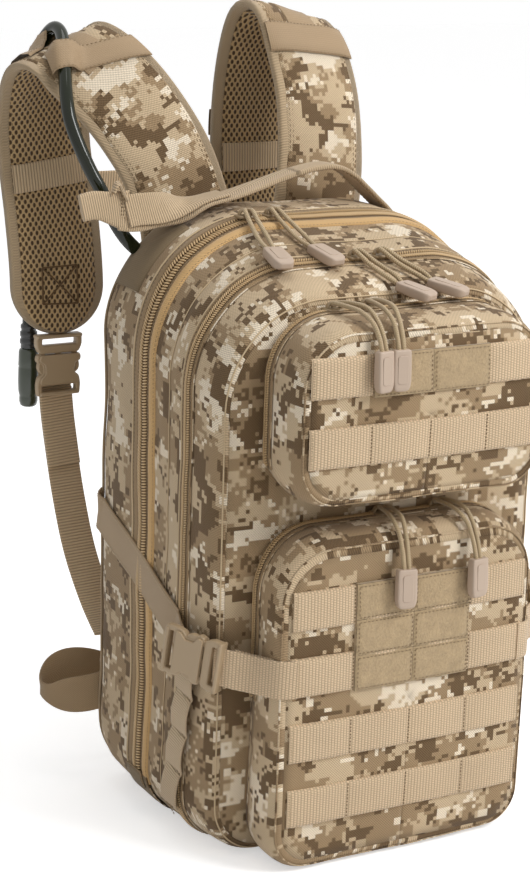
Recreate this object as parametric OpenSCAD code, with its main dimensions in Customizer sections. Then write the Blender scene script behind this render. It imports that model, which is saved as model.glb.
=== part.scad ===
// Small three-compartment hydration pack with two front pockets, seen from
// the front pocket side at -Y. The wearer's side is +Y and the base is z = 0.

/* [Body] */
// Width of the main compartment
body_w = 250; // [220:1:290]
// Height of the main compartment
body_h = 400; // [370:1:440]
// Radius of the top corners of the main compartment
body_top_r = 80; // [62:1:86]
// Radius of the bottom corners of the main compartment
body_foot_r = 34; // [20:1:45]
// Back face of the main compartment, as a distance from the origin
body_back = 98; // [86:1:110]
// Distance of the main zipper behind the origin
main_zip_y = 33; // [24:1:44]
// Distance of the middle zipper in front of the origin
mid_zip_y = 23; // [18:1:30]
// Distance of the middle compartment's front face in front of the origin
mid_front = 60; // [54:1:66]
// Drop of the top between the main zipper and the middle zipper
mid_drop = 20; // [10:1:30]
// Thickness of the padded cloth walls
wall = 2.4; // [1.6:0.1:4]

// Thickness of the foam back sheet
foam_t = 5; // [3:0.5:8]

/* [Front pockets] */
// Width of the upper pocket
upper_w = 182; // [160:1:200]
// Bottom of the upper pocket above the base
upper_low = 241; // [236:1:252]
// Height of the upper pocket
upper_h = 116; // [100:1:122]
// Depth of the upper pocket
upper_depth = 47; // [38:1:56]
// Width of the lower pocket
lower_w = 194; // [176:1:206]
// Height of the lower pocket
lower_h = 221; // [205:1:226]
// Depth of the lower pocket
lower_depth = 38.5; // [32:0.5:50]
// Height of the upper pocket's fold line above its bottom
upper_fold = 21; // [14:1:24]
// Height of the lower pocket's fold line above the base
lower_fold = 110; // [104:1:116]

/* [Zippers] */
// Width of one half of a zipper's tape, coil included
zip_half = 5.7; // [4:0.1:8]
// Gap between the two halves of a zipper
zip_gap = 0.4; // [0.3:0.05:0.8]
// Height at which the main zipper ends on both sides
main_zip_end = 26; // [16:1:40]
// Length of a slider
slider_l = 13; // [10:0.5:16]
// Width of a slider
slider_w = 9; // [7:0.5:12]
// Height of a slider
slider_t = 5; // [4:0.5:7]

/* [Pulls] */
// Diameter of the pull cord
cord_d = 3; // [2:0.25:4]
// Length of a moulded pull tab
tab_l = 25; // [18:1:30]
// Width of a moulded pull tab
tab_w = 8; // [6:0.5:11]
// Thickness of a moulded pull tab
tab_t = 4.5; // [4:0.25:6]

/* [Webbing] */
// Width of all the webbing
web_w = 25.4; // [20:0.1:30]
// Thickness of the webbing
web_t = 1.6; // [1:0.1:2.4]
// Spacing of the webbing rows, from bottom edge to bottom edge
row_pitch = 43.8; // [38:0.2:46]
// Height of the lowest webbing row's bottom edge
row_low = 32; // [28:0.5:36]
// Length of a webbing row
row_l = 172; // [140:1:180]
// Side of a loop patch's stitched cell
patch_cell = 43; // [36:1:45]
// Thickness of a loop patch
patch_t = 1.6; // [1:0.1:2.5]

/* [Buckles] */
// Length of the female half of a side-release buckle
female_l = 30; // [26:1:40]
// Length of the male half's body, prongs not counted
male_l = 14; // [12:1:20]
// Extra width of a buckle past its webbing
buckle_margin = 8; // [6:0.5:12]
// Thickness of a buckle
buckle_t = 9; // [8:0.5:12]
// Wall of the female half
buckle_wall = 1.8; // [1.2:0.1:2.4]
// Depth to which the prongs enter the female half
prong_l = 15; // [10:1:18]

/* [Shoulder straps] */
// Width of a shoulder strap
strap_w = 65; // [55:1:75]
// Thickness of a shoulder strap
strap_t = 12; // [8:0.5:14]
// Width of the keeper bands over the straps
band_w = 18; // [14:1:26]

/* [Handle] */
// Width of the grab handle's webbing
handle_w = 25.4; // [20:0.1:27]
// Thickness of the doubled handle webbing
handle_t = 3.2; // [2.4:0.1:5]
// Half of the handle's span between its stitched tabs
handle_half = 88; // [80:1:92]
// Height of the handle's middle above the top of the pack
handle_rise = 27; // [20:1:34]
// Distance of the handle's middle line behind the origin
handle_y = 70; // [64:1:72]

/* [Drink system] */
// Outer diameter of the drink tube
tube_d = 9; // [8:0.5:10]
// Width of the water reservoir
reservoir_w = 180; // [150:1:200]
// Height of the water reservoir
reservoir_h = 290; // [250:1:310]
// Thickness of the water reservoir
reservoir_t = 20; // [14:1:22]
// Diameter of the reservoir's screw cap
cap_d = 62; // [50:1:80]
// Length of the bite valve below its connector
valve_l = 42; // [34:1:52]
// Diameter of the bite valve's cover
valve_d = 14; // [12:0.5:17]

/* [Hidden] */

// Clearances
seat = 0.3;
fold_gap = 0.6;
facets = 32;

// Colours as photographed
cloth_c = [0.72, 0.62, 0.46];
web_c = [0.62, 0.50, 0.34];
zip_c = [0.60, 0.47, 0.26];
tab_c = [0.45, 0.40, 0.34];
mesh_c = [0.66, 0.55, 0.38];
tube_c = [0.12, 0.14, 0.08];
cord_c = [0.66, 0.52, 0.32];

// Body sections along Y: [y, width, base, top, top radius, foot radius]
edge_in = 10;
top_back = body_h + 2;
mid_top = body_h - mid_drop;
front_top = mid_top - 14;
rear_start = main_zip_y + zip_gap / 2 + zip_half;
front_end = main_zip_y - zip_gap / 2 - zip_half;
mid_zip_back = -mid_zip_y + zip_half;
mid_zip_front = -mid_zip_y - zip_half;
rear_cut = [
    [rear_start, body_w, 0, body_h, body_top_r, body_foot_r],
    [body_back - edge_in, body_w, 0, top_back, body_top_r, body_foot_r],
    [body_back - edge_in / 4, body_w - 5, 3, top_back - 3,
        body_top_r - 2, body_foot_r - 2],
    [body_back, body_w - 15, 8, top_back - 9,
        body_top_r - 5, body_foot_r - 4]];
front_cut = [
    [front_end, body_w, 0, body_h - 2, body_top_r, body_foot_r],
    [mid_zip_back, body_w - 1, 0, mid_top + 1,
        body_top_r - 12, body_foot_r - 2]];
mid_cut = [
    [mid_zip_front, body_w - 3, 0, mid_top - 2,
        body_top_r - 14, body_foot_r - 2],
    [-mid_front + 7, body_w - 10, 0, front_top + 2,
        body_top_r - 20, body_foot_r - 6],
    [-mid_front, body_w - 20, 3, front_top - 4,
        body_top_r - 25, body_foot_r - 8]];

// Pocket sections
pocket_back = -mid_front - seat;
upper_front = -mid_front - upper_depth;
upper_top = upper_low + upper_h;
upper_fold_z = upper_low + upper_fold;
lower_front = -mid_front - lower_depth;
upper_r = 34;
upper_cut = [
    [pocket_back, upper_w - 2, upper_low + 2, upper_top, upper_r, 24],
    [upper_front + 12, upper_w, upper_low, upper_top - 1, upper_r - 2, 26],
    [upper_front + 3, upper_w - 6, upper_low + 3, upper_top - 4,
        upper_r - 6, 24],
    [upper_front, upper_w - 16, upper_low + 8, upper_top - 10,
        upper_r - 11, 20]];
lower_r = 36;
lower_cut = [
    [pocket_back, lower_w - 8, 3, lower_h, lower_r, 26],
    [lower_front + 12, lower_w, 0, lower_h - 1, lower_r - 1, 24],
    [lower_front + 3, lower_w - 7, 2, lower_h - 5, lower_r - 6, 22],
    [lower_front, lower_w - 18, 7, lower_h - 12, lower_r - 12, 18]];
pocket_zip_back = pocket_back - zip_half;
pocket_zip_front = pocket_zip_back - zip_gap;
pocket_panel_back = pocket_zip_front - zip_half;
pocket_zip_y = pocket_zip_back - zip_gap / 2;
tape_t = 3;

// Slider places along each zipper
main_slider_x = [-54, -34];
mid_slider_x = [-4, 15];
upper_slider_x = [-46, -21];
lower_slider_x = [-5, 38];
slider_lift = 0.4;

// Pull routes in side view, from the slider's front top edge: [forward, up].
// Each route has the tilt of its tab and the sideways swing of its two pulls.
main_pull = [[0, -1.6], [10, -6.5], [28, -15.3], [43, -19.5]];
mid_pull = [[0, -1.6], [12, -6.8], [27, -12.4], [35, -16.6]];
upper_pull = [[0, -1.6], [24, -4], [35, -7], [41, -13], [43.7, -20]];
lower_pull = [[0, -1.6], [18, -4.4], [27, -8.5], [31.5, -15], [35.4, -30]];
main_tilt = -10;
mid_tilt = -8;
hang_tilt = -90;
main_swing = [-9, 7];
mid_swing = [20, 30];
upper_swing = [8, -8];
lower_swing = [-9, 9];

// Room between a strap and its keeper bands
keeper_gap = 0.8;

// Shoulder strap centre lines, from the seam on the back, and the direction
// that each strap's width leans to
strap_left_path = [[-58, 104.8, 380], [-62, 104.5, 398], [-75, 109, 432],
    [-97, 121, 468], [-118, 135, 491], [-130, 149, 498],
    [-135, 163, 489], [-133, 176, 462], [-129, 181, 428],
    [-124, 180.5, 388], [-121, 177.5, 345], [-122, 173, 303]];
strap_right_path = [[42, 104.8, 380], [44, 104.5, 398], [48, 109, 430],
    [50, 120, 470], [46, 133, 502], [40, 147, 518], [36, 161, 514],
    [35, 174, 482], [35, 180.5, 440], [36, 180, 395], [41, 176, 350],
    [47, 171, 303]];
strap_left_lean = [1, 0, 0.4];
strap_right_lean = [1, 0, -0.3];
strap_steps = 2;
buckle_left = [-122, 172, 288];
buckle_right = [48, 170, 281];
web_side = buckle_t / 2 + web_t / 2 + seat + 0.2;
anchor = [body_w / 2 - 11, body_back + web_t / 2 + seat, 104];
web_left_path = [
    [buckle_left[0], buckle_left[1] + web_side, buckle_left[2] - 14],
    [buckle_left[0], buckle_left[1] + web_side, buckle_left[2] - 62],
    [-128, 170, 190], [-130, 156, 150], [-126, 128, 120],
    [-anchor[0], anchor[1], anchor[2]]];
web_right_path = [
    [buckle_right[0], buckle_right[1] + web_side, buckle_right[2] - 14],
    [buckle_right[0], buckle_right[1] + web_side, buckle_right[2] - 62],
    [64, 166, 190], [84, 150, 150], [108, 124, 120],
    [anchor[0], anchor[1], anchor[2]]];

// Waist and sternum webbing
waist_y = 130;
waist_z = 46;
sewn_y = body_back + web_t / 2 + seat;
waist_x = body_w / 2 - 11;
waist_left_path = [[-waist_x, sewn_y, 70], [-waist_x - 20, 102, 68],
    [-waist_x - 40, 112, 63], [-waist_x - 44, 121, 58],
    [-waist_x - 34, waist_y, 51], [-waist_x + 4, waist_y, waist_z],
    [-60, waist_y, waist_z], [-male_l - seat, waist_y, waist_z]];
waist_right_path = [[female_l / 2, waist_y + web_side, waist_z],
    [60, waist_y + web_side, waist_z], [waist_x - 14, waist_y + 4, 50],
    [waist_x + 18, 122, 58], [waist_x + 16, 106, 66],
    [waist_x, sewn_y, 70]];
sternum = [-38, 193.5, 398];
sternum_left_path = [[-122, 187.9, 400], [-104, 189, 399],
    [sternum[0] - male_l - seat, sternum[1], sternum[2]]];
sternum_right_path = [
    [sternum[0] + female_l / 2, sternum[1] + web_side, sternum[2]],
    [sternum[0] + female_l + 6, sternum[1] + web_side, sternum[2]],
    [18, sternum[1] + web_side, 398.5], [31, 192, 400], [43, 187.7, 401]];

// Compression strap: rear end, side run, bridge to the buckle
comp_x = body_w / 2 + web_t / 2 + seat;
comp_rear = [comp_x, body_back - 4, 196];
comp_split_y = main_zip_y;
comp_slope = 0.42;
comp_buckle = [body_w / 2 + 9, -44, 137];
comp_dir = [-0.453, -0.891, 0];
comp_yaw = atan2(0.891, 0.453);
comp_pitch = 8;
comp_side = buckle_t / 2 + web_t / 2 + seat + 0.2;
comp_under = comp_side * [-0.891, 0.453, 0];

// Drink tube route from the top left corner to the bite valve
port = [20.6 - body_w / 2, body_back - edge_in, body_h - 26.6];
tube_route = [port, port + [-9.6, 0, 9.6], port + [-18.6, 1, 23.6],
    port + [-25.1, 2, 39.1], [-137, 94, 428], [-143, 98.5, 444],
    [-146.3, 104.5, 459], [-145.5, 112, 473], [-142, 122, 487],
    [-138, 132.5, 501], [-134, 146, 511], [-134, 158, 513],
    [-137, 169.5, 502.5], [-140.5, 181.5, 484], [-142.5, 189, 464],
    [-143.5, 192.5, 446], [-143, 194, 425], [-141, 193.5, 400],
    [-138, 192, 370], [-137, 190, 340], [-137, 188, 322],
    [-137, 188, 304]];
tube_sides = 10;
inner_x = 19 - body_w / 2;
inner_route = [[-reservoir_w / 2 - 0.6, 70, 30], [inner_x + 8, 70, 31],
    [inner_x, 70, 42], [inner_x - 2, 71, 80], [inner_x, 73, 160],
    [inner_x + 1, 75, 240], [inner_x + 3, 80, 320],
    [inner_x + 4, 85, 345], [inner_x + 4.4, port[1], 360],
    port + [4.4, 0, -3.9], port + [1.1, 0, -1]];
connector_l = 14;
connector_d = 12;

// ---- helpers ----
function unit(v) = v / norm(v);

function tangent(p, i) =
    unit(p[min(i + 1, len(p) - 1)] - p[max(i - 1, 0)]);

// The part of reference direction w that lies square to t
function square_to(w, t) = unit(w - (w * t) * t);

function curve_at(a, b, c, d, u) = 0.5 * ((2 * b) + (c - a) * u
    + (2 * a - 5 * b + 4 * c - d) * u * u
    + (3 * b - a - 3 * c + d) * u * u * u);

function smooth(p, n) = [
    for (i = [0 : len(p) - 2], k = [0 : n - 1])
        curve_at(p[max(i - 1, 0)], p[i], p[i + 1],
            p[min(i + 2, len(p) - 1)], k / n),
    p[len(p) - 1]];

function circle_points(d, n) = [
    for (k = [0 : n - 1]) d / 2 * [cos(360 * k / n), sin(360 * k / n)]];

function flat_points(w, t) = [
    [w / 2, t / 2], [-w / 2, t / 2], [-w / 2, -t / 2], [w / 2, -t / 2]];

// Padded section: thick in the middle, thin at the bound edges
function pad_points(w, t) = [
    [w / 2, 1.5], [w / 2 - 7, t / 2 - 1.4], [w / 4, t / 2],
    [-w / 4, t / 2], [-w / 2 + 7, t / 2 - 1.4], [-w / 2, 1.5],
    [-w / 2, -1.5], [-w / 2 + 7, -t / 2 + 1.4], [-w / 4, -t / 2],
    [w / 4, -t / 2], [w / 2 - 7, -t / 2 + 1.4], [w / 2, -1.5]];

// Rings of a section swept along a path, its width along reference w
function sweep_rings(path, section, w) = [
    for (i = [0 : len(path) - 1])
        let (t = tangent(path, i), x = square_to(w, t), y = cross(x, t))
            [for (q = section) path[i] + q[0] * x + q[1] * y]];

// Closed skin over rings that all have the same number of points
module skin(rings) {
    n = len(rings[0]);
    m = len(rings);
    sides = [for (i = [0 : m - 2], j = [0 : n - 1])
        let (a = i * n + j, b = i * n + (j + 1) % n)
            each [[a, b, b + n], [a, b + n, a + n]]];
    first = [for (j = [1 : n - 2]) [0, j + 1, j]];
    last = [for (j = [1 : n - 2])
        [(m - 1) * n, (m - 1) * n + j, (m - 1) * n + j + 1]];
    polyhedron(points = [for (r = rings) each r],
        faces = concat(sides, first, last), convexity = 8);
}

module strip(path, w, t, ref, steps = 3) {
    skin(sweep_rings(smooth(path, steps), flat_points(w, t), ref));
}

// Rounded outline in the XZ plane, drawn in 2D
module outline(w, low, high, top_r, foot_r) {
    translate([-w / 2, low + foot_r])
        square([w, high - low - foot_r - top_r]);
    translate([-w / 2 + foot_r, low])
        square([w - 2 * foot_r, foot_r + 1]);
    translate([-w / 2 + top_r, high - top_r - 1])
        square([w - 2 * top_r, top_r + 1]);
    for (s = [-1, 1]) {
        translate([s * (w / 2 - foot_r), low + foot_r])
            circle(foot_r, $fn = facets);
        translate([s * (w / 2 - top_r), high - top_r])
            circle(top_r, $fn = facets);
    }
}

// Extrude a 2D drawing of the XZ plane from y0 back to y1
module along_y(y0, y1) {
    translate([0, y1, 0])
        rotate([90, 0, 0])
            linear_extrude(y1 - y0)
                children();
}

// One thin slice of a section, its outline drawn in by g
module slice(s, g, t = 0.1) {
    along_y(s[0], s[0] + t)
        outline(s[1] - 2 * g, s[2] + g, s[3] - g,
            max(s[4] - g, 2), max(s[5] - g, 2));
}

// Closed form through sections ordered along Y, drawn in by g.
// The first and last faces move inward by near and far.
module body_form(cut, g = 0, first = 0, last = 0) {
    n = len(cut) - 1;
    way = sign(cut[n][0] - cut[0][0]);
    hull() {
        for (i = [0 : n])
            translate([0, (i == 0 ? first : i == n ? -last : 0) * way
                - (way > 0 && i == n ? 0.1 : 0)
                - (way < 0 && i == 0 ? 0.1 : 0), 0])
                slice(cut[i], g);
    }
}

// Tub: open at its first section, closed at its last
module tub(cut) {
    difference() {
        body_form(cut);
        body_form(cut, wall, -1, wall);
    }
}

// Tube with both ends open
module sleeve(cut) {
    difference() {
        body_form(cut);
        body_form(cut, wall, -1, -1);
    }
}

// Zipper tape on an outline, from y0 to y1, above height low
module zip_tape(w, base, high, top_r, foot_r, y0, y1, low) {
    intersection() {
        along_y(y0, y1)
            difference() {
                outline(w, base, high, top_r, foot_r);
                outline(w - 2 * tape_t, base + tape_t, high - tape_t,
                    top_r - tape_t, max(foot_r - tape_t, 2));
            }
        translate([-w, y0 - 1, low])
            cube([2 * w, y1 - y0 + 2, high]);
    }
}

module above(z) {
    intersection() {
        children();
        translate([-body_w, -200, z])
            cube([2 * body_w, 400, 600]);
    }
}

module below(z) {
    intersection() {
        children();
        translate([-body_w, -200, z - 600])
            cube([2 * body_w, 400, 600]);
    }
}

// ---- buckles: +X runs from the male half into the female half ----
module female_half() {
    w = web_w + buckle_margin;
    bar = 3;
    slot = 5;
    difference() {
        translate([0, -w / 2, -buckle_t / 2])
            cube([female_l, w, buckle_t]);
        translate([-1, -w / 2 + buckle_wall, -buckle_t / 2 + buckle_wall])
            cube([prong_l + 3, w - 2 * buckle_wall,
                buckle_t - 2 * buckle_wall]);
        translate([prong_l / 2, -w, -buckle_t / 4])
            cube([prong_l / 2, 2 * w, buckle_t / 2]);
        translate([female_l - bar - slot, -web_w / 2 - seat, -buckle_t])
            cube([slot, web_w + 2 * seat, 2 * buckle_t]);
    }
}

module male_half() {
    w = web_w + buckle_margin;
    bar = 3;
    prong_w = 4.5;
    inner = w / 2 - buckle_wall - 2 * seat;
    thin = buckle_t - 2 * buckle_wall - 4 * seat;
    difference() {
        translate([-male_l, -w / 2, -buckle_t / 2])
            cube([male_l - seat, w, buckle_t]);
        translate([-male_l + bar, -web_w / 2 - seat, -buckle_t])
            cube([male_l / 3, web_w + 2 * seat, 2 * buckle_t]);
    }
    for (s = [-1, 1])
        translate([-seat, s * (inner - prong_w / 2) - prong_w / 2,
            -thin / 2])
            cube([prong_l, prong_w, thin]);
    translate([-seat, -prong_w / 2, -thin / 2])
        cube([prong_l - 1, prong_w, thin]);
}

module hang_frame(at) {
    translate(at)
        rotate([0, 90, 0])
            rotate([90, 0, 0])
                children();
}

module level_frame(at) {
    translate(at)
        rotate([90, 0, 0])
            children();
}

module comp_frame() {
    translate(comp_buckle)
        translate(prong_l * comp_dir)
            rotate([0, 0, comp_yaw])
                rotate([0, -comp_pitch, 0])
                    rotate([90, 0, 0])
                        children();
}

module both_sides() {
    children();
    mirror([1, 0, 0])
        children();
}

// ---- rear half ----
module rear_shell() {
    foot = [[main_zip_y + zip_gap / 2, body_w, 0, body_h, body_top_r,
        body_foot_r], [rear_start + 0.2, body_w, 0, body_h, body_top_r,
        body_foot_r]];
    color(cloth_c)
        difference() {
            union() {
                tub(rear_cut);
                below(main_zip_end - seat)
                    sleeve(foot);
            }
            translate(tube_route[0])
                rotate([0, -49, 0])
                    cylinder(d = tube_d + 4 * seat, h = 20,
                        center = true);
        }
}

module main_zip_rear() {
    color(zip_c)
        zip_tape(body_w, 0, body_h, body_top_r, body_foot_r,
            main_zip_y + zip_gap / 2, rear_start, main_zip_end);
}

foam_y = body_back - wall - foam_t - seat;
module back_foam() {
    color([0.3, 0.3, 0.28])
        along_y(foam_y, foam_y + foam_t)
            outline(body_w - 60, 16, body_h - 40, 30, 16);
}

module pad(x, z, w, h) {
    translate([x, body_back + seat, z])
        hull() {
            cube([w, 1, h]);
            translate([7, 0, 7])
                cube([w - 14, 8, h - 14]);
            translate([16, 0, 16])
                cube([w - 32, 10, h - 32]);
        }
}

pads_half = body_w / 2 - 33;
module back_pads() {
    color(mesh_c) {
        pad(-pads_half, 214, pads_half - 4, 150);
        pad(4, 214, pads_half - 4, 150);
        pad(-pads_half, 30, 2 * pads_half, 168);
    }
}

sleeve_y = 58;
sleeve_top = 300;
module hydration_sleeve() {
    color([0.35, 0.32, 0.26]) {
        along_y(sleeve_y, sleeve_y + 1.2)
            outline(body_w - 2 * (wall + seat), wall + seat, sleeve_top,
                12, body_foot_r - wall);
    }
}

reservoir_y = sleeve_y + 1.2 + seat;
reservoir_low = wall + seat;
module reservoir() {
    r = 16;
    mid = reservoir_y + reservoir_t / 2;
    color([0.55, 0.68, 0.74]) {
        difference() {
            hull() {
                along_y(mid - 1, mid + 1)
                    outline(reservoir_w, reservoir_low,
                        reservoir_low + reservoir_h, r, r);
                along_y(reservoir_y, reservoir_y + reservoir_t)
                    outline(reservoir_w - 24, reservoir_low + 12,
                        reservoir_low + reservoir_h - 12, r, r);
            }
            translate([0, mid, reservoir_low + reservoir_h - cap_d])
                rotate([90, 0, 0])
                    cylinder(d = cap_d + 4 * seat, h = reservoir_t);
        }
    }
}

module reservoir_cap() {
    mid = reservoir_y + reservoir_t / 2;
    color([0.15, 0.2, 0.16])
        translate([0, mid - seat, reservoir_low + reservoir_h - cap_d])
            rotate([90, 0, 0])
                cylinder(d = cap_d, h = reservoir_t / 2 - 2 * seat);
}

module inner_tube() {
    color(tube_c)
        skin(sweep_rings(smooth(inner_route, 2),
            circle_points(tube_d, tube_sides), [0, 1, 0.01]));
}

// ---- handle ----
handle_low = body_h + 5;
module handle_band(path) {
    strip(path, handle_w, handle_t, [0, 1, 0], 3);
}

module grab_handle() {
    top = body_h + handle_rise;
    color(web_c)
        difference() {
            handle_band([[-handle_half - 6, handle_y, handle_low - 4],
                [-handle_half, handle_y, handle_low],
                [-60, handle_y, handle_low + 4],
                [-30, handle_y, handle_low + 9], [0, handle_y, top - 4],
                [26, handle_y, top], [50, handle_y, top - 4],
                [70, handle_y, handle_low + 9],
                [handle_half, handle_y, handle_low],
                [handle_half + 6, handle_y, handle_low - 5]]);
            for (s = [-1, 1])
                translate([s * (handle_half + 20), handle_y,
                    handle_low - 10])
                    cube([40, 60, 60], center = true);
        }
}

// Stitched tabs that run from the corner of the body up to the handle
module handle_tabs() {
    r = body_top_r + handle_t / 2 + seat;
    cx = body_w / 2 - body_top_r;
    cz = body_h - body_top_r + 2;
    both = [for (a = [18 : 12 : 54]) [cx + r * cos(a), handle_y,
        cz + r * sin(a)]];
    tab = concat(both, [[handle_half + 8, handle_y, handle_low - 6],
        [handle_half + seat, handle_y, handle_low]]);
    color(web_c) {
        difference() {
            both_sides()
                strip(tab, handle_w, handle_t, [0, 1, 0], 2);
            cube([2 * (handle_half + seat), 400, 2000], center = true);
        }
        translate([-156, handle_y - handle_t, handle_low - 8])
            rotate([0, 6, 0])
                cube([62, handle_t, 22]);
    }
}

// ---- shoulder straps ----
module shoulder_strap(path, lean) {
    skin(sweep_rings(smooth(path, strap_steps),
        pad_points(strap_w, strap_t), lean));
}

module shoulder_strap_left() {
    color(mesh_c)
        shoulder_strap(strap_left_path, strap_left_lean);
}

module shoulder_strap_right() {
    color(mesh_c)
        shoulder_strap(strap_right_path, strap_right_lean);
}

// Keeper band round a strap at point i of its smooth path
module keeper(path, lean, i) {
    p = smooth(path, strap_steps);
    t = tangent(p, i);
    x = square_to(lean, t);
    n = cross(x, t);
    lift = strap_t / 2 + web_t / 2 + keeper_gap;
    half = strap_w / 2 + 1.5;
    ends = [for (u = [[-1, 0.3], [-0.9, 0.75], [-0.5, 1], [0.5, 1],
        [0.9, 0.75], [1, 0.3]])
            p[i] + u[0] * half * x + u[1] * lift * n];
    strip(ends, band_w, web_t, t, 1);
}

module strap_bands() {
    color(web_c) {
        keeper(strap_right_path, strap_right_lean, 8);
        keeper(strap_left_path, strap_left_lean, 15);
        keeper(strap_right_path, strap_right_lean, 15);
    }
}

module strap_webbing() {
    color(web_c) {
        strip(web_left_path, web_w, web_t, [1, 0, 0]);
        strip(web_right_path, web_w, web_t, [1, 0, 0]);
        strip(waist_left_path, web_w, web_t, [0, 0, 1]);
        strip(waist_right_path, web_w, web_t, [0, 0, 1]);
        strip(sternum_left_path, web_w, web_t, [0, 0, 1]);
        strip(sternum_right_path, web_w, web_t, [0, 0, 1]);
    }
}

module buckle_males() {
    color(web_c) {
        hang_frame(buckle_left)
            male_half();
        hang_frame(buckle_right)
            male_half();
        level_frame([0, waist_y, waist_z])
            male_half();
        level_frame(sternum)
            male_half();
    }
}

module strap_female_left() {
    color(web_c)
        hang_frame(buckle_left)
            female_half();
}

module strap_female_right() {
    color(web_c)
        hang_frame(buckle_right)
            female_half();
}

module sternum_female() {
    color(web_c)
        level_frame(sternum)
            female_half();
}

module waist_female() {
    color(web_c)
        level_frame([0, waist_y, waist_z])
            female_half();
}

// ---- compression straps ----
module comp_run(y0, y1) {
    z0 = comp_rear[2] - comp_slope * (comp_rear[1] - y0);
    z1 = comp_rear[2] - comp_slope * (comp_rear[1] - y1);
    both_sides()
        strip([[comp_x, y1, z1], [comp_x, y0, z0]],
            web_w, web_t, [0, 0, 1], 1);
}

module compression_rear() {
    color(web_c)
        comp_run(comp_split_y + fold_gap, comp_rear[1]);
}

comp_bend_y = -18;
module compression_mid() {
    z0 = comp_rear[2] - comp_slope * (comp_rear[1] - comp_bend_y);
    color(web_c) {
        comp_run(comp_bend_y, comp_split_y - fold_gap);
        both_sides()
            strip([[comp_x, comp_bend_y - 0.05, z0],
                comp_buckle + comp_under + [0, 4, 2],
                comp_buckle + comp_under + 8 * comp_dir],
                web_w, web_t, [0, 0, 1], 2);
    }
}

module compression_female_right() {
    color(web_c)
        comp_frame()
            female_half();
}

module compression_female_left() {
    mirror([1, 0, 0])
        compression_female_right();
}

module compression_males() {
    color(web_c)
        both_sides()
            comp_frame()
                male_half();
}

// ---- front half ----
partition_y = 0;
module front_shell() {
    foot = [[main_zip_y - zip_gap / 2, body_w, 0, body_h, body_top_r,
        body_foot_r], [front_end - 0.2, body_w, 0, body_h, body_top_r,
        body_foot_r]];
    color(cloth_c) {
        sleeve(front_cut);
        below(main_zip_end - seat)
            sleeve(foot);
        along_y(partition_y, partition_y + 1.2)
            outline(body_w - wall, wall / 2, mid_top + 7,
                body_top_r - 7, body_foot_r - 2);
    }
}

module main_zip_front() {
    color(zip_c)
        zip_tape(body_w, 0, body_h, body_top_r, body_foot_r,
            front_end, main_zip_y - zip_gap / 2, main_zip_end);
}

module mid_shell() {
    color(cloth_c)
        tub(mid_cut);
}

module mid_zip() {
    color(zip_c)
        zip_tape(body_w - 2, 0, mid_top, body_top_r - 13, body_foot_r - 2,
            mid_zip_front, mid_zip_back, 0);
}

module side_webbing() {
    x = body_w / 2 + seat;
    color(web_c)
        both_sides()
            translate([x, -15, 26])
                rotate([0, 90, 0])
                    rotate([0, 0, -12])
                        translate([-110, -web_w / 2, 0])
                            cube([110, web_w, web_t]);
}

// ---- upper pocket ----
module upper_pocket_base() {
    color(cloth_c)
        below(upper_fold_z - fold_gap / 2)
            tub(upper_cut);
}

module upper_zip(y0, y1) {
    color(zip_c)
        zip_tape(upper_w, upper_low, upper_top, upper_r, 24, y0, y1,
            upper_fold_z + fold_gap / 2);
}

module upper_zip_fixed() {
    upper_zip(pocket_zip_back, pocket_back);
}

module upper_zip_flap() {
    upper_zip(pocket_panel_back, pocket_zip_front);
}

module upper_pocket_panel() {
    cut = concat([[pocket_panel_back, upper_w, upper_low, upper_top,
        upper_r, 24]], [for (i = [1 : 3]) upper_cut[i]]);
    color(cloth_c)
        above(upper_fold_z + fold_gap / 2)
            tub(cut);
}

module web_row(front, z) {
    translate([-row_l / 2, front - seat - web_t, z])
        cube([row_l, web_t, web_w]);
}

module patch(front, z, h) {
    translate([-patch_cell, front - seat - web_t - seat - patch_t, z])
        cube([2 * patch_cell, patch_t, h]);
}

upper_row_low = upper_fold_z + 7;
module upper_rows() {
    color(web_c)
        for (i = [0, 1])
            web_row(upper_front, upper_row_low + i * row_pitch);
    color(mesh_c)
        patch(upper_front, upper_row_low + row_pitch, web_w);
}

// ---- lower pocket ----
module lower_pocket_base() {
    color(cloth_c)
        below(lower_fold - fold_gap / 2)
            tub(lower_cut);
}

module lower_zip(y0, y1) {
    color(zip_c)
        zip_tape(lower_w - 2, 0, lower_h, lower_r, 24, y0, y1,
            lower_fold + fold_gap / 2);
}

module lower_zip_fixed() {
    lower_zip(pocket_zip_back, pocket_back);
}

module lower_zip_flap() {
    lower_zip(pocket_panel_back, pocket_zip_front);
}

module lower_pocket_panel() {
    cut = concat([[pocket_panel_back, lower_w - 2, 0, lower_h, lower_r,
        24]], [for (i = [1 : 3]) lower_cut[i]]);
    color(cloth_c)
        above(lower_fold + fold_gap / 2)
            tub(cut);
}

module lower_rows() {
    color(web_c)
        for (i = [0, 1])
            web_row(lower_front, row_low + i * row_pitch);
}

module lower_rows_top() {
    color(web_c)
        for (i = [2, 3])
            web_row(lower_front, row_low + i * row_pitch);
    color(mesh_c)
        patch(lower_front, row_low + 2 * row_pitch, row_pitch + web_w);
}

// ---- sliders and pulls ----
module slider(x, y, z) {
    color(tab_c)
        translate([x - slider_l / 2, y - slider_w / 2, z + slider_lift])
            cube([slider_l, slider_w, slider_t]);
}

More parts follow.
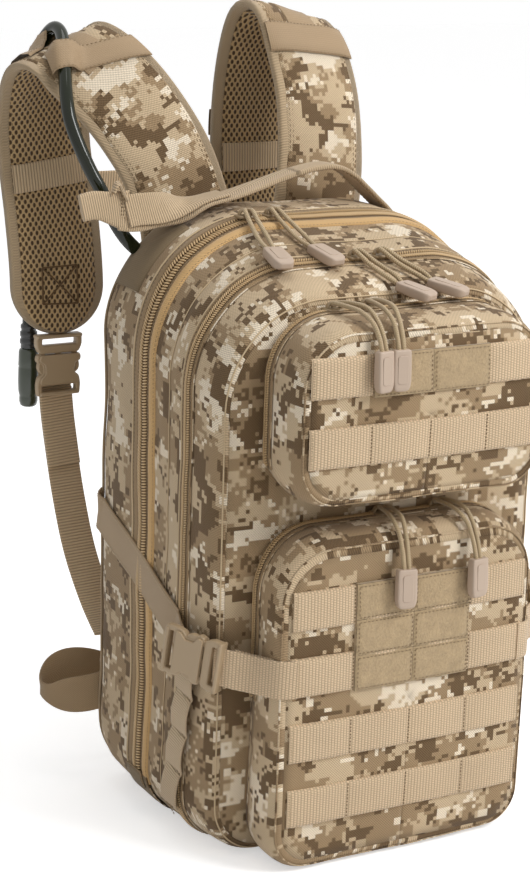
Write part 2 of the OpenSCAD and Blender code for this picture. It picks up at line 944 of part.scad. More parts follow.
// Two cord strands in side view, then the moulded tab on their end
module pull(x, y, z, route, tilt, swing) {
    w = 2 * cord_d + 0.6;
    start = seat + w / 2 * abs(sin(swing));
    n = len(route) - 1;
    line = [for (i = [0 : n]) i == 0 ? [start, route[0][1]] : route[i]];
    up = [for (p = line) [p[0], p[1] + cord_d / 2]];
    low = [for (i = [n : -1 : 0]) [line[i][0], line[i][1] - cord_d / 2]];
    translate([x, y - slider_w / 2, z + slider_lift + slider_t])
        rotate([0, 0, swing])
            mirror([0, 1, 0]) {
                color(cord_c)
                    translate([-w / 2, 0, 0])
                        rotate([90, 0, 90])
                            linear_extrude(w)
                                polygon(concat(up, low));
                color(tab_c)
                    translate([-tab_w / 2, line[n][0], line[n][1]])
                        rotate([tilt, 0, 0])
                            translate([0, -1, -tab_t / 2])
                                cube([tab_w, tab_l, tab_t]);
            }
}

module slider_main_left() {
    slider(main_slider_x[0], main_zip_y, body_h);
}

module slider_main_right() {
    slider(main_slider_x[1], main_zip_y, body_h);
}

module slider_mid_left() {
    slider(mid_slider_x[0], -mid_zip_y, mid_top);
}

module slider_mid_right() {
    slider(mid_slider_x[1], -mid_zip_y, mid_top);
}

module slider_upper_left() {
    slider(upper_slider_x[0], pocket_zip_y, upper_top);
}

module slider_upper_right() {
    slider(upper_slider_x[1], pocket_zip_y, upper_top);
}

module slider_lower_left() {
    slider(lower_slider_x[0], pocket_zip_y, lower_h);
}

module slider_lower_right() {
    slider(lower_slider_x[1], pocket_zip_y, lower_h);
}

module pull_main_left() {
    pull(main_slider_x[0], main_zip_y, body_h, main_pull,
        main_tilt, main_swing[0]);
}

module pull_main_right() {
    pull(main_slider_x[1], main_zip_y, body_h, main_pull,
        main_tilt, main_swing[1]);
}

module pull_mid_left() {
    pull(mid_slider_x[0], -mid_zip_y, mid_top, mid_pull,
        mid_tilt, mid_swing[0]);
}

module pull_mid_right() {
    pull(mid_slider_x[1], -mid_zip_y, mid_top, mid_pull,
        mid_tilt, mid_swing[1]);
}

module pull_upper_left() {
    pull(upper_slider_x[0], pocket_zip_y, upper_top, upper_pull,
        hang_tilt, upper_swing[0]);
}

module pull_upper_right() {
    pull(upper_slider_x[1], pocket_zip_y, upper_top, upper_pull,
        hang_tilt, upper_swing[1]);
}

module pull_lower_left() {
    pull(lower_slider_x[0], pocket_zip_y, lower_h, lower_pull,
        hang_tilt, lower_swing[0]);
}

module pull_lower_right() {
    pull(lower_slider_x[1], pocket_zip_y, lower_h, lower_pull,
        hang_tilt, lower_swing[1]);
}

// ---- drink tube ----
module drink_tube() {
    color(tube_c)
        skin(sweep_rings(smooth(tube_route, 1),
            circle_points(tube_d, tube_sides), [0.3, 1, 0.1]));
}

tube_end = tube_route[len(tube_route) - 1];
module tube_connector() {
    color("black")
        translate([tube_end[0], tube_end[1],
            tube_end[2] - connector_l - seat / 2])
            cylinder(d = connector_d, h = connector_l);
}

module bite_valve() {
    color(tube_c)
        translate([tube_end[0], tube_end[1],
            tube_end[2] - connector_l - seat - valve_l])
            cylinder(d = valve_d, h = valve_l);
}

rear_shell();
back_foam();
back_pads();
hydration_sleeve();
reservoir();
reservoir_cap();
inner_tube();
main_zip_rear();
shoulder_strap_left();
shoulder_strap_right();
strap_bands();
strap_webbing();
buckle_males();
compression_rear();
handle_tabs();
grab_handle();
drink_tube();
tube_connector();
bite_valve();
strap_female_left();
strap_female_right();
sternum_female();
waist_female();
compression_female_left();
compression_female_right();
front_shell();
main_zip_front();
mid_shell();
mid_zip();
compression_mid();
side_webbing();
upper_pocket_base();
upper_zip_fixed();
lower_pocket_base();
lower_zip_fixed();
lower_rows();
upper_pocket_panel();
upper_zip_flap();
upper_rows();
lower_pocket_panel();
lower_zip_flap();
lower_rows_top();
compression_males();
slider_main_left();
slider_main_right();
slider_mid_left();
slider_mid_right();
slider_upper_left();
slider_upper_right();
slider_lower_left();
slider_lower_right();
pull_main_left();
pull_main_right();
pull_mid_left();
pull_mid_right();
pull_upper_left();
pull_upper_right();
pull_lower_left();
pull_lower_right();
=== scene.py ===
import math

import bpy
import numpy as np
from mathutils import Matrix, Vector, noise


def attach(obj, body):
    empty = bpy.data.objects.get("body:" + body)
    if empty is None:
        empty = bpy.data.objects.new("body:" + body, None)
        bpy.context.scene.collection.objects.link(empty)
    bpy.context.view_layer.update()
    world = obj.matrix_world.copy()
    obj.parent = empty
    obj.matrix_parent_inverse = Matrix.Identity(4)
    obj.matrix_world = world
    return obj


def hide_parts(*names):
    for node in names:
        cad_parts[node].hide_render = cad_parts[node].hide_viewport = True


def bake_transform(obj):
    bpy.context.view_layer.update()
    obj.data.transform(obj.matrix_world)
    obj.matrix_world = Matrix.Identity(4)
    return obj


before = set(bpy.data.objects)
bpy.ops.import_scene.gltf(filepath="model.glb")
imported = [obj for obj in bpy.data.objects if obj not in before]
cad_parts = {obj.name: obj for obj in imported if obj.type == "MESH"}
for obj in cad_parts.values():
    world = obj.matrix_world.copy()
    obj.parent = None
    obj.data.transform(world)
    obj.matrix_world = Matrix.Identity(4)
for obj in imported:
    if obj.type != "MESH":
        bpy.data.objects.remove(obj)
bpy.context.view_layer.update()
MM = 0.001
PI = math.pi


# ---------------------------------------------------------------- shaders
class Value:
    """A node's output that can be added, subtracted, multiplied and divided."""

    def __init__(self, shader, socket):
        self.shader = shader
        self.socket = socket

    def __add__(self, other):
        return self.shader.math("ADD", self, other)

    def __sub__(self, other):
        return self.shader.math("SUBTRACT", self, other)

    def __rsub__(self, other):
        return self.shader.math("SUBTRACT", other, self)

    def __mul__(self, other):
        return self.shader.math("MULTIPLY", self, other)

    def __truediv__(self, other):
        return self.shader.math("DIVIDE", self, other)


class Shader:
    """A Principled material with its colour and its bumps made by nodes."""

    def __init__(self, name, rough, **levels):
        self.mat = bpy.data.materials.new(name)
        self.mat.use_nodes = True
        self.tree = self.mat.node_tree
        self.bsdf = self.tree.nodes["Principled BSDF"]
        for level, value in {"Roughness": rough, **levels}.items():
            self.bsdf.inputs[level.replace("_", " ")].default_value = value
        place = self.node("ShaderNodeTexCoord").outputs
        self.uv, self.obj = place["UV"], place["Object"]

    def node(self, kind, **props):
        n = self.tree.nodes.new(kind)
        for k, v in props.items():
            setattr(n, k, v)
        return n

    def put(self, socket, value):
        if isinstance(value, Value):
            value = value.socket
        if isinstance(value, bpy.types.NodeSocket):
            self.tree.links.new(value, socket)
        else:
            socket.default_value = value

    def fill(self, node, values, output=0):
        """Puts values by input name or number, and gives the output."""
        for key, value in values.items():
            self.put(node.inputs[key], value)
        return Value(self, node.outputs[output])

    def math(self, op, a, b=0.0):
        return self.fill(self.node("ShaderNodeMath", operation=op), {0: a, 1: b})

    def vmath(self, op, a, b=(0, 0, 0)):
        return self.fill(self.node("ShaderNodeVectorMath", operation=op), {0: a, 1: b})

    def split(self):
        n = self.node("ShaderNodeSeparateXYZ")
        self.put(n.inputs[0], self.uv)
        return Value(self, n.outputs[0]), Value(self, n.outputs[1])

    def noise(self, v, scale, detail=2.0, rough=0.5):
        return self.fill(self.node("ShaderNodeTexNoise"),
                         {"Vector": v, "Scale": scale, "Detail": detail, "Roughness": rough})

    def white(self, v):
        return self.fill(self.node("ShaderNodeTexWhiteNoise", noise_dimensions="3D"),
                         {"Vector": v}, "Value")

    def wave(self, value, pitch):
        """0 to 1 to 0 over each pitch."""
        return self.math("PINGPONG", value / (pitch / 2), 1.0)

    def mix(self, fac, a, b, mode="MIX"):
        return self.fill(self.node("ShaderNodeMix", data_type="RGBA", blend_type=mode),
                         {0: fac, 6: a, 7: b}, 2)

    def step(self, value, edge, soft=0.0):
        least = 1e-5
        return self.fill(self.node("ShaderNodeMapRange", interpolation_type="SMOOTHSTEP"),
                         {0: value, 1: edge - soft - least, 2: edge + soft + least})

    def bump(self, height, distance, strength, **below):
        values = {"Strength": strength, "Distance": distance, "Height": height, **below}
        n = self.fill(self.node("ShaderNodeBump"), values)
        self.put(self.bsdf.inputs["Normal"], n)
        return n

    def finish(self, colour, tone, height, distance, strength, **below):
        """The material: a colour times a tone, with the height as bumps."""
        grey = self.fill(self.node("ShaderNodeCombineXYZ"), {0: tone, 1: tone, 2: tone})
        self.put(self.bsdf.inputs["Base Color"], self.mix(1.0, colour, grey, "MULTIPLY"))
        self.bump(height, distance, strength, **below)
        return self.mat


def rgb(r, g, b):
    """Linear colour from 0 to 255 display values."""
    out = []
    for v in (r, g, b):
        v /= 255.0
        out.append(v / 12.92 if v <= 0.04045 else ((v + 0.055) / 1.055) ** 2.4)
    return (*out, 1.0)


def cloth(name, rough, sheen):
    """A shader with the soft sheen of fibres."""
    if not sheen:
        return Shader(name, rough)
    return Shader(name, rough, Sheen_Weight=sheen, Sheen_Roughness=0.4)


CELL = 0.0026


def camo(name, dim=1.0, seed=0.0):
    """Square-celled camouflage in four colours, on twill."""
    sh = cloth(name, 0.85, 0.12)
    x, y = sh.split()
    cell = sh.vmath("FLOOR", sh.vmath("MULTIPLY", sh.uv, (1 / CELL, 1 / CELL, 1)))
    cell = sh.vmath("ADD", cell, (seed * 37.0, seed * 11.0, seed))
    pair = sh.vmath("FLOOR", sh.vmath("MULTIPLY", cell, (0.5, 0.5, 1.0)))
    loose = (sh.white(cell) - 0.5) * 0.075 + (sh.white(pair) - 0.5) * 0.05
    wide = sh.vmath("MULTIPLY", cell, (0.8, 1.0, 1.0))
    colour = rgb(203, 179, 145)
    for off, scale, edge, paint in ((3.1, 0.085, 0.50, rgb(160, 134, 100)),
                                    (57.7, 0.115, 0.575, rgb(238, 222, 197)),
                                    (91.3, 0.15, 0.568, rgb(106, 82, 52))):
        moved = sh.vmath("ADD", wide, (off, off * 0.7, off))
        shape = sh.noise(moved, scale, 4.0, 0.62) + loose
        colour = sh.mix(sh.step(shape, edge), colour, paint)
    twill = sh.wave(x + y, 0.0017) * 0.75 + sh.wave(x - y, 0.0026) * 0.25
    wear = sh.noise(sh.obj, 14.0, 4.0, 0.6)
    slub = sh.noise(sh.vmath("MULTIPLY", sh.uv, (300.0, 2200.0, 1.0)), 1.0, 2.0)
    tone = (twill * 0.62 + 0.58) * (wear * 0.36 + 0.82) * (slub * 0.24 + 0.88)
    soft = sh.bump(sh.noise(sh.obj, 55.0, 3.0, 0.6), 0.0018, 0.55)
    return sh.finish(colour, tone * dim, twill, 0.0004, 0.85, Normal=soft)


def ribbed(name, base, pitch=0.0021):
    """Webbing with ribs across its length; v runs along it."""
    sh = cloth(name, 0.75, 0.25)
    x, y = sh.split()
    rib = sh.step(sh.wave(y, pitch), 0.38, 0.36)
    weave = sh.wave(x + y * 0.5, 0.0011)
    spots = sh.noise(sh.obj, 35.0, 3.0)
    tone = (rib * 0.42 + 0.66) * (weave * 0.14 + 0.92) * (spots * 0.2 + 0.9)
    return sh.finish(base, tone, rib, 0.0005, 0.9)


def basket(name, base, rib=0.00225, tick=0.0016):
    """Basket weave: ribs across the length, each a column of staggered ticks."""
    sh = cloth(name, 0.75, 0.25)
    x, y = sh.split()
    shift = sh.math("MODULO", sh.math("FLOOR", y / rib), 2.0) * (tick / 2)
    block = sh.step(sh.wave(x + shift, tick), 0.3, 0.3) * sh.step(sh.wave(y, rib), 0.36, 0.3)
    spots = sh.noise(sh.obj, 30.0, 3.0)
    return sh.finish(base, (block * 0.38 + 0.68) * (spots * 0.2 + 0.9), block, 0.0004, 0.8)


def plain(name, base, rough=0.7, sheen=0.2, grain=0.0009, depth=0.00018, vary=0.16):
    """Smooth tape or moulded part with a fine grain."""
    sh = cloth(name, rough, sheen)
    x, y = sh.split()
    fine = sh.wave(x, grain) * sh.wave(y, grain)
    spots = sh.noise(sh.obj, 24.0, 4.0, 0.6)
    tone = (spots * vary + (1.0 - vary / 2)) * (fine * 0.16 + 0.92)
    return sh.finish(base, tone, fine, depth, 0.7)


def diagonal(name, base, pitch=0.0012):
    """Tape with fine slanted lines."""
    sh = cloth(name, 0.7, 0.2)
    x, y = sh.split()
    line = sh.wave(x + y, pitch)
    spots = sh.noise(sh.obj, 26.0, 3.0)
    return sh.finish(base, (line * 0.3 + 0.78) * (spots * 0.2 + 0.9), line, 0.0003, 0.8)


def holes(name, base, hole_shade, pitch=0.0041, slant=0.62):
    """Spacer mesh: staggered openings between soft ribs, painted dark as the shade inside them."""
    sh = cloth(name, 0.85, 0.3)
    x, y = sh.split()
    hole = sh.wave(x + y * slant, pitch) * sh.wave(x - y * slant, pitch)
    mask = sh.step(hole, 0.27, 0.16)
    spots = sh.noise(sh.obj, 60.0, 2.0)
    # the openings get the darker second colour: painted shade
    return sh.finish(sh.mix(mask, base, hole_shade), spots * 0.3 + 0.85, 1.0 - mask, 0.0009, 0.9)


def fuzzy(name, base):
    """Loop side of a hook-and-loop patch."""
    sh = cloth(name, 0.95, 0.5)
    fuzz = sh.noise(sh.obj, 620.0, 3.0, 0.7) * 0.7 + sh.noise(sh.obj, 150.0, 3.0, 0.6) * 0.5
    return sh.finish(base, fuzz * 0.85 + 0.5, fuzz, 0.0011, 0.9)


def braided(name, base, strand_gap_shade, pitch=0.0015):
    """Round cord with crossing strands, painted darker as shade in the hollows between them."""
    sh = cloth(name, 0.7, 0.3)
    x, y = sh.split()
    knit = sh.math("MAXIMUM", sh.wave(x + y, pitch), sh.wave(x - y, pitch))
    # the darker colour fills the hollows between crossing strands: painted shade
    return sh.finish(sh.mix(sh.step(knit, 0.62, 0.12), strand_gap_shade, base), 1.0, knit, 0.0002, 0.8)


def glossy(name, base, rough=0.12, coat=0.6, clear=0.0, shine=0.5):
    """Smooth rubber or plastic with faint streaks."""
    sh = Shader(name, rough, Coat_Weight=coat, Specular_IOR_Level=shine, Transmission_Weight=clear)
    streak = sh.noise(sh.obj, 18.0, 3.0)
    return sh.finish(base, streak * 0.5 + 0.75, sh.noise(sh.obj, 260.0, 2.0), 0.0002, 0.3)


TAN = rgb(197, 172, 138)
MAT = {
    "camo": camo("camo_cloth"),
    "camo2": camo("camo_cloth_side", 0.97, 3.0),
    "camo3": camo("camo_cloth_front", 1.03, 7.0),
    "lining": plain("lining", rgb(120, 102, 76), 0.85, 0.1, 0.0012),
    "web": ribbed("webbing_ribbed", TAN),
    "weblong": ribbed("webbing_narrow_ribs", TAN, 0.0017),
    "row": basket("webbing_basket", rgb(214, 187, 152)),
    "flat": diagonal("tape_smooth", rgb(168, 142, 108), 0.0016),
    "smooth": plain("strap_smooth", rgb(158, 133, 101), 0.65, 0.2, 0.0014, 0.0002),
    "binding": ribbed("binding_tape", rgb(194, 169, 134), 0.0011),
    # spacer mesh: its second, darker colour is painted shade in the openings
    "mesh": holes("spacer_mesh", rgb(184, 154, 110), rgb(68, 48, 20)),
    "loop": fuzzy("loop_patch", rgb(172, 149, 115)),
    "tape": diagonal("zipper_tape", rgb(152, 124, 86)),
    "lip": diagonal("zipper_rain_lip", rgb(206, 167, 112), 0.0015),
    "coil": plain("zipper_coil", rgb(204, 173, 128), 0.45, 0.0, 0.0006),
    # dark: painted shade, a strip under each zipper coil that shows between its teeth; the box
    # stitches on the straps use it too
    "dark": plain("zipper_gap_shade_and_box_stitch", rgb(98, 74, 44), 0.8, 0.0),
    "piping": plain("edge_piping", rgb(198, 174, 138), 0.75, 0.2),
    "thread": plain("thread", rgb(128, 106, 74), 0.7, 0.1, 0.0004),
    "threadlight": plain("thread_light", rgb(206, 184, 148), 0.7, 0.1, 0.0004),
    "plastic": plain("buckle_plastic", rgb(172, 149, 118), 0.42, 0.0, 0.0005, 0.00004, 0.08),
    "tab": plain("pull_plastic", rgb(186, 165, 146), 0.5, 0.0, 0.0005, 0.00005, 0.10),
    "metal": plain("slider_metal", rgb(150, 128, 96), 0.4, 0.0, 0.0006, 0.00005, 0.25),
    # pull cord: its second, darker colour is painted shade between the strands
    "cord": braided("pull_cord", rgb(200, 178, 142), rgb(120, 96, 62)),
    "tube": glossy("drink_tube", rgb(24, 29, 12), 0.1, 0.08, 0.0, 0.3),
    "connector": glossy("tube_connector", rgb(24, 24, 23), 0.35, 0.2),
    "valve": glossy("valve_cover", rgb(44, 52, 33), 0.3, 0.4),
    "bladder": glossy("bladder_film", rgb(150, 185, 196), 0.15, 0.3, 0.35),
    "cap": glossy("cap_plastic", rgb(40, 48, 40), 0.4, 0.2),
    "foam": plain("foam", rgb(92, 92, 86), 0.95, 0.0, 0.002, 0.0004),
}


# ---------------------------------------------------------------- meshes
class Build:
    """Collects patches of faces, in millimetres, into one object."""

    def __init__(self, name, *mats):
        self.name = name
        self.mats = list(mats)
        self.v, self.chunks, self.count = [], [], 0

    def slot(self, mat):
        if mat not in self.mats:
            self.mats.append(mat)
        return self.mats.index(mat)

    def add(self, verts, faces, uv, mat):
        verts = np.asarray(verts, float).reshape(-1, 3)
        faces = np.asarray(faces, int)
        index = self.slot(mat) if isinstance(mat, str) else mat
        index = np.broadcast_to(np.asarray(index), (len(faces),))
        self.v.append(verts)
        self.chunks.append((faces + self.count, np.asarray(uv, float), index))
        self.count += len(verts)

    def grid(self, p, mat, uv=None, wrap=False, flip=False):
        """Faces over an (n, m) net of points; wrap closes it along m."""
        p = np.asarray(p, float)
        n, m = p.shape[:2]
        if uv is None:
            du = np.linalg.norm(np.diff(np.concatenate([p, p[:, :1]], 1), axis=1), axis=2)
            dv = np.linalg.norm(np.diff(p, axis=0), axis=2)
            uu = np.concatenate([np.zeros((n, 1)), np.cumsum(du, 1)], 1)
            vv = np.concatenate([np.zeros((1, m)), np.cumsum(dv, 0)], 0)
            uu = np.repeat(uu.mean(0)[None], n, 0)
            vv = np.concatenate([vv, vv[:, :1]], 1)
            uv = np.stack([uu, vv], -1) * MM
        cols = m if wrap else m - 1
        i, j = np.meshgrid(np.arange(n - 1), np.arange(cols), indexing="ij")
        i, j = i.ravel(), j.ravel()
        k = (j + 1) % m
        quads = np.stack([i * m + j, i * m + k, (i + 1) * m + k, (i + 1) * m + j], 1)
        uvs = np.stack([uv[i, j], uv[i, j + 1], uv[i + 1, j + 1], uv[i + 1, j]], 1)
        if flip:
            quads, uvs = quads[:, ::-1], uvs[:, ::-1]
        if isinstance(mat, (list, np.ndarray)):
            index = np.array([self.slot(x) for x in mat])[j]
            self.add(p, quads, uvs, index)
        else:
            self.add(p, quads, uvs, mat)

    def fan(self, ring, mat):
        """One flat face inside a ring of points."""
        ring = np.asarray(ring, float)
        reach = np.abs(ring - ring.mean(0)).max(0)
        uv = ring[:, np.argsort(-reach)[:2]] * MM
        self.add(ring, [list(range(len(ring)))], uv[None], mat)

    def ends(self, rows, mat):
        """Closes both ends of a closed form."""
        self.fan(rows[0], mat)
        self.fan(rows[-1][::-1], mat)

    def sweep(self, path, section, ref, mat):
        """A closed section along a path: one for all, or one for each point."""
        path = np.asarray(path, float)
        x, y, _ = frames(path, ref)
        s = np.broadcast_to(section, (len(path), *np.shape(section)[-2:]))
        p = path[:, None] + s[..., :1] * x[:, None] + s[..., 1:] * y[:, None]
        self.grid(p, mat, wrap=True, flip=True)
        self.ends(p, mat)

    def copies(self, template, centres, ax, ay, az, mat):
        """One small closed form at each centre, in its own frame."""
        tv, tf = template
        c, ax, ay, az = (np.asarray(a, float) for a in (centres, ax, ay, az))
        p = (c[:, None] + tv[None, :, :1] * ax[:, None] + tv[None, :, 1:2] * ay[:, None]
             + tv[None, :, 2:] * az[:, None])
        f = tf[None] + (np.arange(len(c)) * len(tv))[:, None, None]
        uv = np.zeros((len(c) * len(tf), 4, 2))
        uv[:, :, 0] = np.array([0, 1, 1, 0]) * 0.0004
        uv[:, :, 1] = np.array([0, 0, 1, 1]) * 0.0004
        self.add(p.reshape(-1, 3), f.reshape(-1, 4), uv, mat)

    def curve(self, loops, half, bevel, matrix, mat):
        """A flat part with rounded edges and real holes, placed by matrix."""
        c = bpy.data.curves.new("tmp", "CURVE")
        c.dimensions, c.fill_mode = "2D", "BOTH"
        c.extrude, c.bevel_depth, c.bevel_resolution = half - bevel, bevel, 2
        c.offset = -bevel
        for loop in loops:
            sp = c.splines.new("POLY")
            sp.points.add(len(loop) - 1)
            for q, (a, b) in zip(sp.points, loop):
                q.co = (a, b, 0, 1)
            sp.use_cyclic_u = True
        o = bpy.data.objects.new("tmp", c)
        bpy.context.scene.collection.objects.link(o)
        dg = bpy.context.evaluated_depsgraph_get()
        me = o.evaluated_get(dg).to_mesh()
        v = np.array([matrix @ q.co for q in me.vertices])
        for size in sorted(set(len(f.vertices) for f in me.polygons)):
            fs = [f for f in me.polygons if len(f.vertices) == size]
            idx = np.array([list(f.vertices) for f in fs])
            local = np.array([[(q.co.x, q.co.y) for q in
                               (me.vertices[i] for i in f.vertices)] for f in fs]) * MM
            self.add(v, idx, local, mat)
        o.evaluated_get(dg).to_mesh_clear()
        bpy.data.objects.remove(o)
        bpy.data.curves.remove(c)

    def done(self, body=None, blend=None, replaces=(), thick=0.0,
             inner="lining"):
        """Makes the object, hides the parts it replaces, and hangs it under the empty of the body it
        follows; with a blend it stays where it is.
        """
        me = bpy.data.meshes.new(self.name)
        v = np.concatenate(self.v) * MM
        v[:, 2] = np.maximum(v[:, 2], 0.0)
        sizes = np.concatenate([np.full(len(f), f.shape[1]) for f, _, _ in self.chunks])
        loops = np.concatenate([f.ravel() for f, _, _ in self.chunks])
        uv = np.concatenate([u.reshape(-1, 2) for _, u, _ in self.chunks])
        index = np.concatenate([m for _, _, m in self.chunks])
        me.vertices.add(len(v))
        me.vertices.foreach_set("co", v.ravel())
        me.loops.add(len(loops))
        me.loops.foreach_set("vertex_index", loops)
        me.polygons.add(len(sizes))
        me.polygons.foreach_set("loop_start", np.concatenate([[0], np.cumsum(sizes)[:-1]]))
        me.polygons.foreach_set("loop_total", sizes)
        me.polygons.foreach_set("material_index", index)
        me.polygons.foreach_set("use_smooth", np.full(len(sizes), True))
        me.uv_layers.new(name="UVMap").data.foreach_set("uv", uv.ravel())
        me.update(calc_edges=True)
        me.validate()
        o = bpy.data.objects.new(self.name, me)
        bpy.context.scene.collection.objects.link(o)
        if thick:
            self.slot(inner)
        for m in self.mats:
            me.materials.append(MAT[m])
        if thick:
            mod = o.modifiers.new("Thickness", "SOLIDIFY")
            mod.thickness, mod.offset = thick * MM, -1.0
            mod.material_offset = len(self.mats) - 1
            mod.material_offset_rim = 0
            bpy.context.view_layer.update()
            dg = bpy.context.evaluated_depsgraph_get()
            solid = bpy.data.meshes.new_from_object(o.evaluated_get(dg))
            o.modifiers.clear()
            o.data = solid
        if blend:
            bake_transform(o)
        else:
            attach(o, body)
        if replaces:
            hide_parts(*([replaces] if isinstance(replaces, str) else replaces))
        return o


def unit(v):
    v = np.asarray(v, float)
    return v / np.maximum(np.linalg.norm(v, axis=-1, keepdims=True), 1e-9)


def frames(path, ref):
    """Across, outward and along directions at each point of a path."""
    t = unit(np.gradient(path, axis=0))
    ref = np.broadcast_to(np.asarray(ref, float), path.shape)
    x = unit(ref - (ref * t).sum(1, keepdims=True) * t)
    return x, np.cross(x, t), t


def smooth(points, n):
    """The Catmull-Rom curve through the points, n pieces between each."""
    p = np.asarray(points, float)
    p = np.concatenate([p[:1], p, p[-1:]])
    u = (np.arange(n) / n)[:, None]
    out = []
    for a, b, c, d in zip(p[:-3], p[1:-2], p[2:-1], p[3:]):
        out.append(0.5 * (2 * b + (c - a) * u + (2 * a - 5 * b + 4 * c - d) * u * u
                          + (3 * b - a - 3 * c + d) * u ** 3))
    return np.concatenate(out + [p[-2:-1]])


def run(path):
    """The distance along a path of each of its points."""
    return np.concatenate([[0], np.cumsum(np.linalg.norm(np.diff(path, axis=0), axis=1))])


def read(at, d, rows):
    """Rows of three values that stand at distances d, read off at others."""
    return np.stack([np.interp(at, d, rows[:, k]) for k in range(3)], -1)


def resample(path, step):
    """Points spaced evenly along a path."""
    d = run(path)
    return read(np.linspace(0, d[-1], max(2, int(d[-1] / step) + 1)), d, path)


def track(points, step=2.5, n=12):
    """Evenly spaced points on the curve through a few points."""
    return resample(smooth(points, n), step)


def xyz(x, y, z):
    """Points from their coordinates."""
    return np.stack(np.broadcast_arrays(x, y, z), -1)


def flat_uv(x, z):
    """Cloth coordinates in metres from two arrays in millimetres."""
    return np.stack(np.broadcast_arrays(x, z), -1) * MM


def net(across, up):
    """Two sets of values as a net: a row for each of the second."""
    return np.meshgrid(across, up, indexing="xy")


def power(v, p):
    """v to the power p with its sign, which squares a circle when p is small."""
    return np.sign(v) * np.abs(v) ** p


def circle(n, turn=0.0):
    a = np.arange(n) * 2 * PI / n + turn
    return np.stack([np.cos(a), np.sin(a)], 1)


def oval(w, t, n=14, square=0.35):
    """Rounded flat section."""
    return power(circle(n, PI / n), square) * (w, t) / 2


def widths(wide, section):
    """A section of width 1 with a width for each point of a path."""
    across, out = section.T
    return np.stack(np.broadcast_arrays(wide[:, None] * across, out), -1)


def mirror(side, points):
    """Points on the left (-1) or the right (1), from those on the right."""
    return [(side * p[0], p[1], p[2]) for p in points]


def bead(rings=5, sides=6, ends=0.15):
    """Small closed capsule of unit half-sizes, long along x."""
    v, f = [], []
    for i in range(rings):
        a = -PI / 2 + PI * i / (rings - 1)
        r = max(math.cos(a), ends if 0 < i < rings - 1 else 0.02)
        for j in range(sides):
            b = 2 * PI * j / sides
            v.append((math.sin(a), r * math.cos(b), r * math.sin(b)))
    for i in range(rings - 1):
        for j in range(sides):
            k = (j + 1) % sides
            f.append((i * sides + j, i * sides + k, (i + 1) * sides + k, (i + 1) * sides + j))
    return np.array(v), np.array(f)


BEAD = bead()
SMALL = bead(4, 5)


def lump(p, size, amount, seed=0.0):
    """Soft unevenness of cloth at points in millimetres."""
    flat = np.asarray(p).reshape(-1, 3)
    out = np.array([noise.noise(Vector((x / size, y / size, z / size + seed)))
                    for x, y, z in flat])
    return amount * out.reshape(np.asarray(p).shape[:-1])


class Surf:
    """Skin of a bag: y, width, low, high, top and foot radius at stations along Y."""

    def __init__(self, rows, wrinkle=1.0, seed=0.0):
        rows = sorted(rows)
        self.rows = np.array(rows, float)
        self.wrinkle, self.seed = wrinkle, seed
        r = self.rows[len(rows) // 2]
        _, w, lo, hi, rt, rf = r
        self.parts = np.array([w / 2 - rf, PI / 2 * rf, hi - lo - rf - rt,
                               PI / 2 * rt, w / 2 - rt])
        self.stops = np.concatenate([[0], np.cumsum(self.parts)])
        self.half = self.stops[-1]

    def bare(self, y, s):
        y, s = np.broadcast_arrays(np.asarray(y, float), np.asarray(s, float))
        side = np.where(s > self.half, 1.0, -1.0)
        s = np.where(s > self.half, 2 * self.half - s, s)
        w, lo, hi, rt, rf = (np.interp(y, self.rows[:, 0], self.rows[:, k])
                             for k in range(1, 6))
        t = [np.clip((s - a) / b, 0, 1) for a, b in zip(self.stops[:-1], self.parts)]
        x = (w / 2 - rf) * t[0] + rf * np.sin(t[1] * PI / 2) \
            - rt * (1 - np.cos(t[3] * PI / 2)) - (w / 2 - rt) * t[4]
        z = lo + rf * (1 - np.cos(t[1] * PI / 2)) + (hi - lo - rf - rt) * t[2] \
            + rt * np.sin(t[3] * PI / 2)
        return np.stack([side * x, y, z], -1)

    def normal(self, y, s):
        e = 0.5
        ds = self.bare(y, np.asarray(s, float) + e) - self.bare(y, np.asarray(s, float) - e)
        dy = self.bare(np.asarray(y, float) + e, s) - self.bare(np.asarray(y, float) - e, s)
        return unit(np.cross(ds, dy))

    def at(self, y, s, h=0.0):
        p, n = self.bare(y, s), self.normal(y, s)
        h = np.asarray(h, float) + self.wrinkle * (
            lump(p, 70, 1.6, self.seed) + lump(p, 26, 0.8, self.seed + 5))
        return p + n * h[..., None]

    def height(self, z, y=None):
        """The position s on the left side at height z."""
        s = np.linspace(0, self.half, 4000)
        zz = self.bare(self.rows[len(self.rows) // 2, 0] if y is None else y, s)[:, 2]
        return float(np.interp(z, zz, s))


def skin(b, surf, ys, ss, mat, h=0.0, flip=False):
    """A sheet on a bag, raised by h: one value, or one for each station of ys."""
    y, s = np.meshgrid(ys, ss, indexing="ij")
    h = np.broadcast_to(np.reshape(h, (-1, 1)), y.shape)
    b.grid(surf.at(y, s, h), mat, uv=flat_uv(s, y), flip=flip)


def lid(b, surf, y, out, bulge, mat, rings=14, seed=0.0):
    """Closing face at station y, bulged by `bulge` towards `out` (-1 or 1)."""
    ss = np.linspace(0, 2 * surf.half, 241)
    edge = surf.at(y, ss)
    c = np.array([0, edge[:, 1].mean(), (edge[:, 2].max() + edge[:, 2].min()) / 2])
    k = np.linspace(1, 0.004, rings)[:, None, None]
    p = c + k * (edge - c)
    inner = 1 - k[..., 0] ** 2
    p[..., 1] = y + out * (bulge * inner + lump(p, 45, 1.6, seed) * np.minimum(inner * 3, 1))
    uv = p[..., [0, 2]] * MM
    b.grid(p, mat, uv=uv, flip=out < 0)


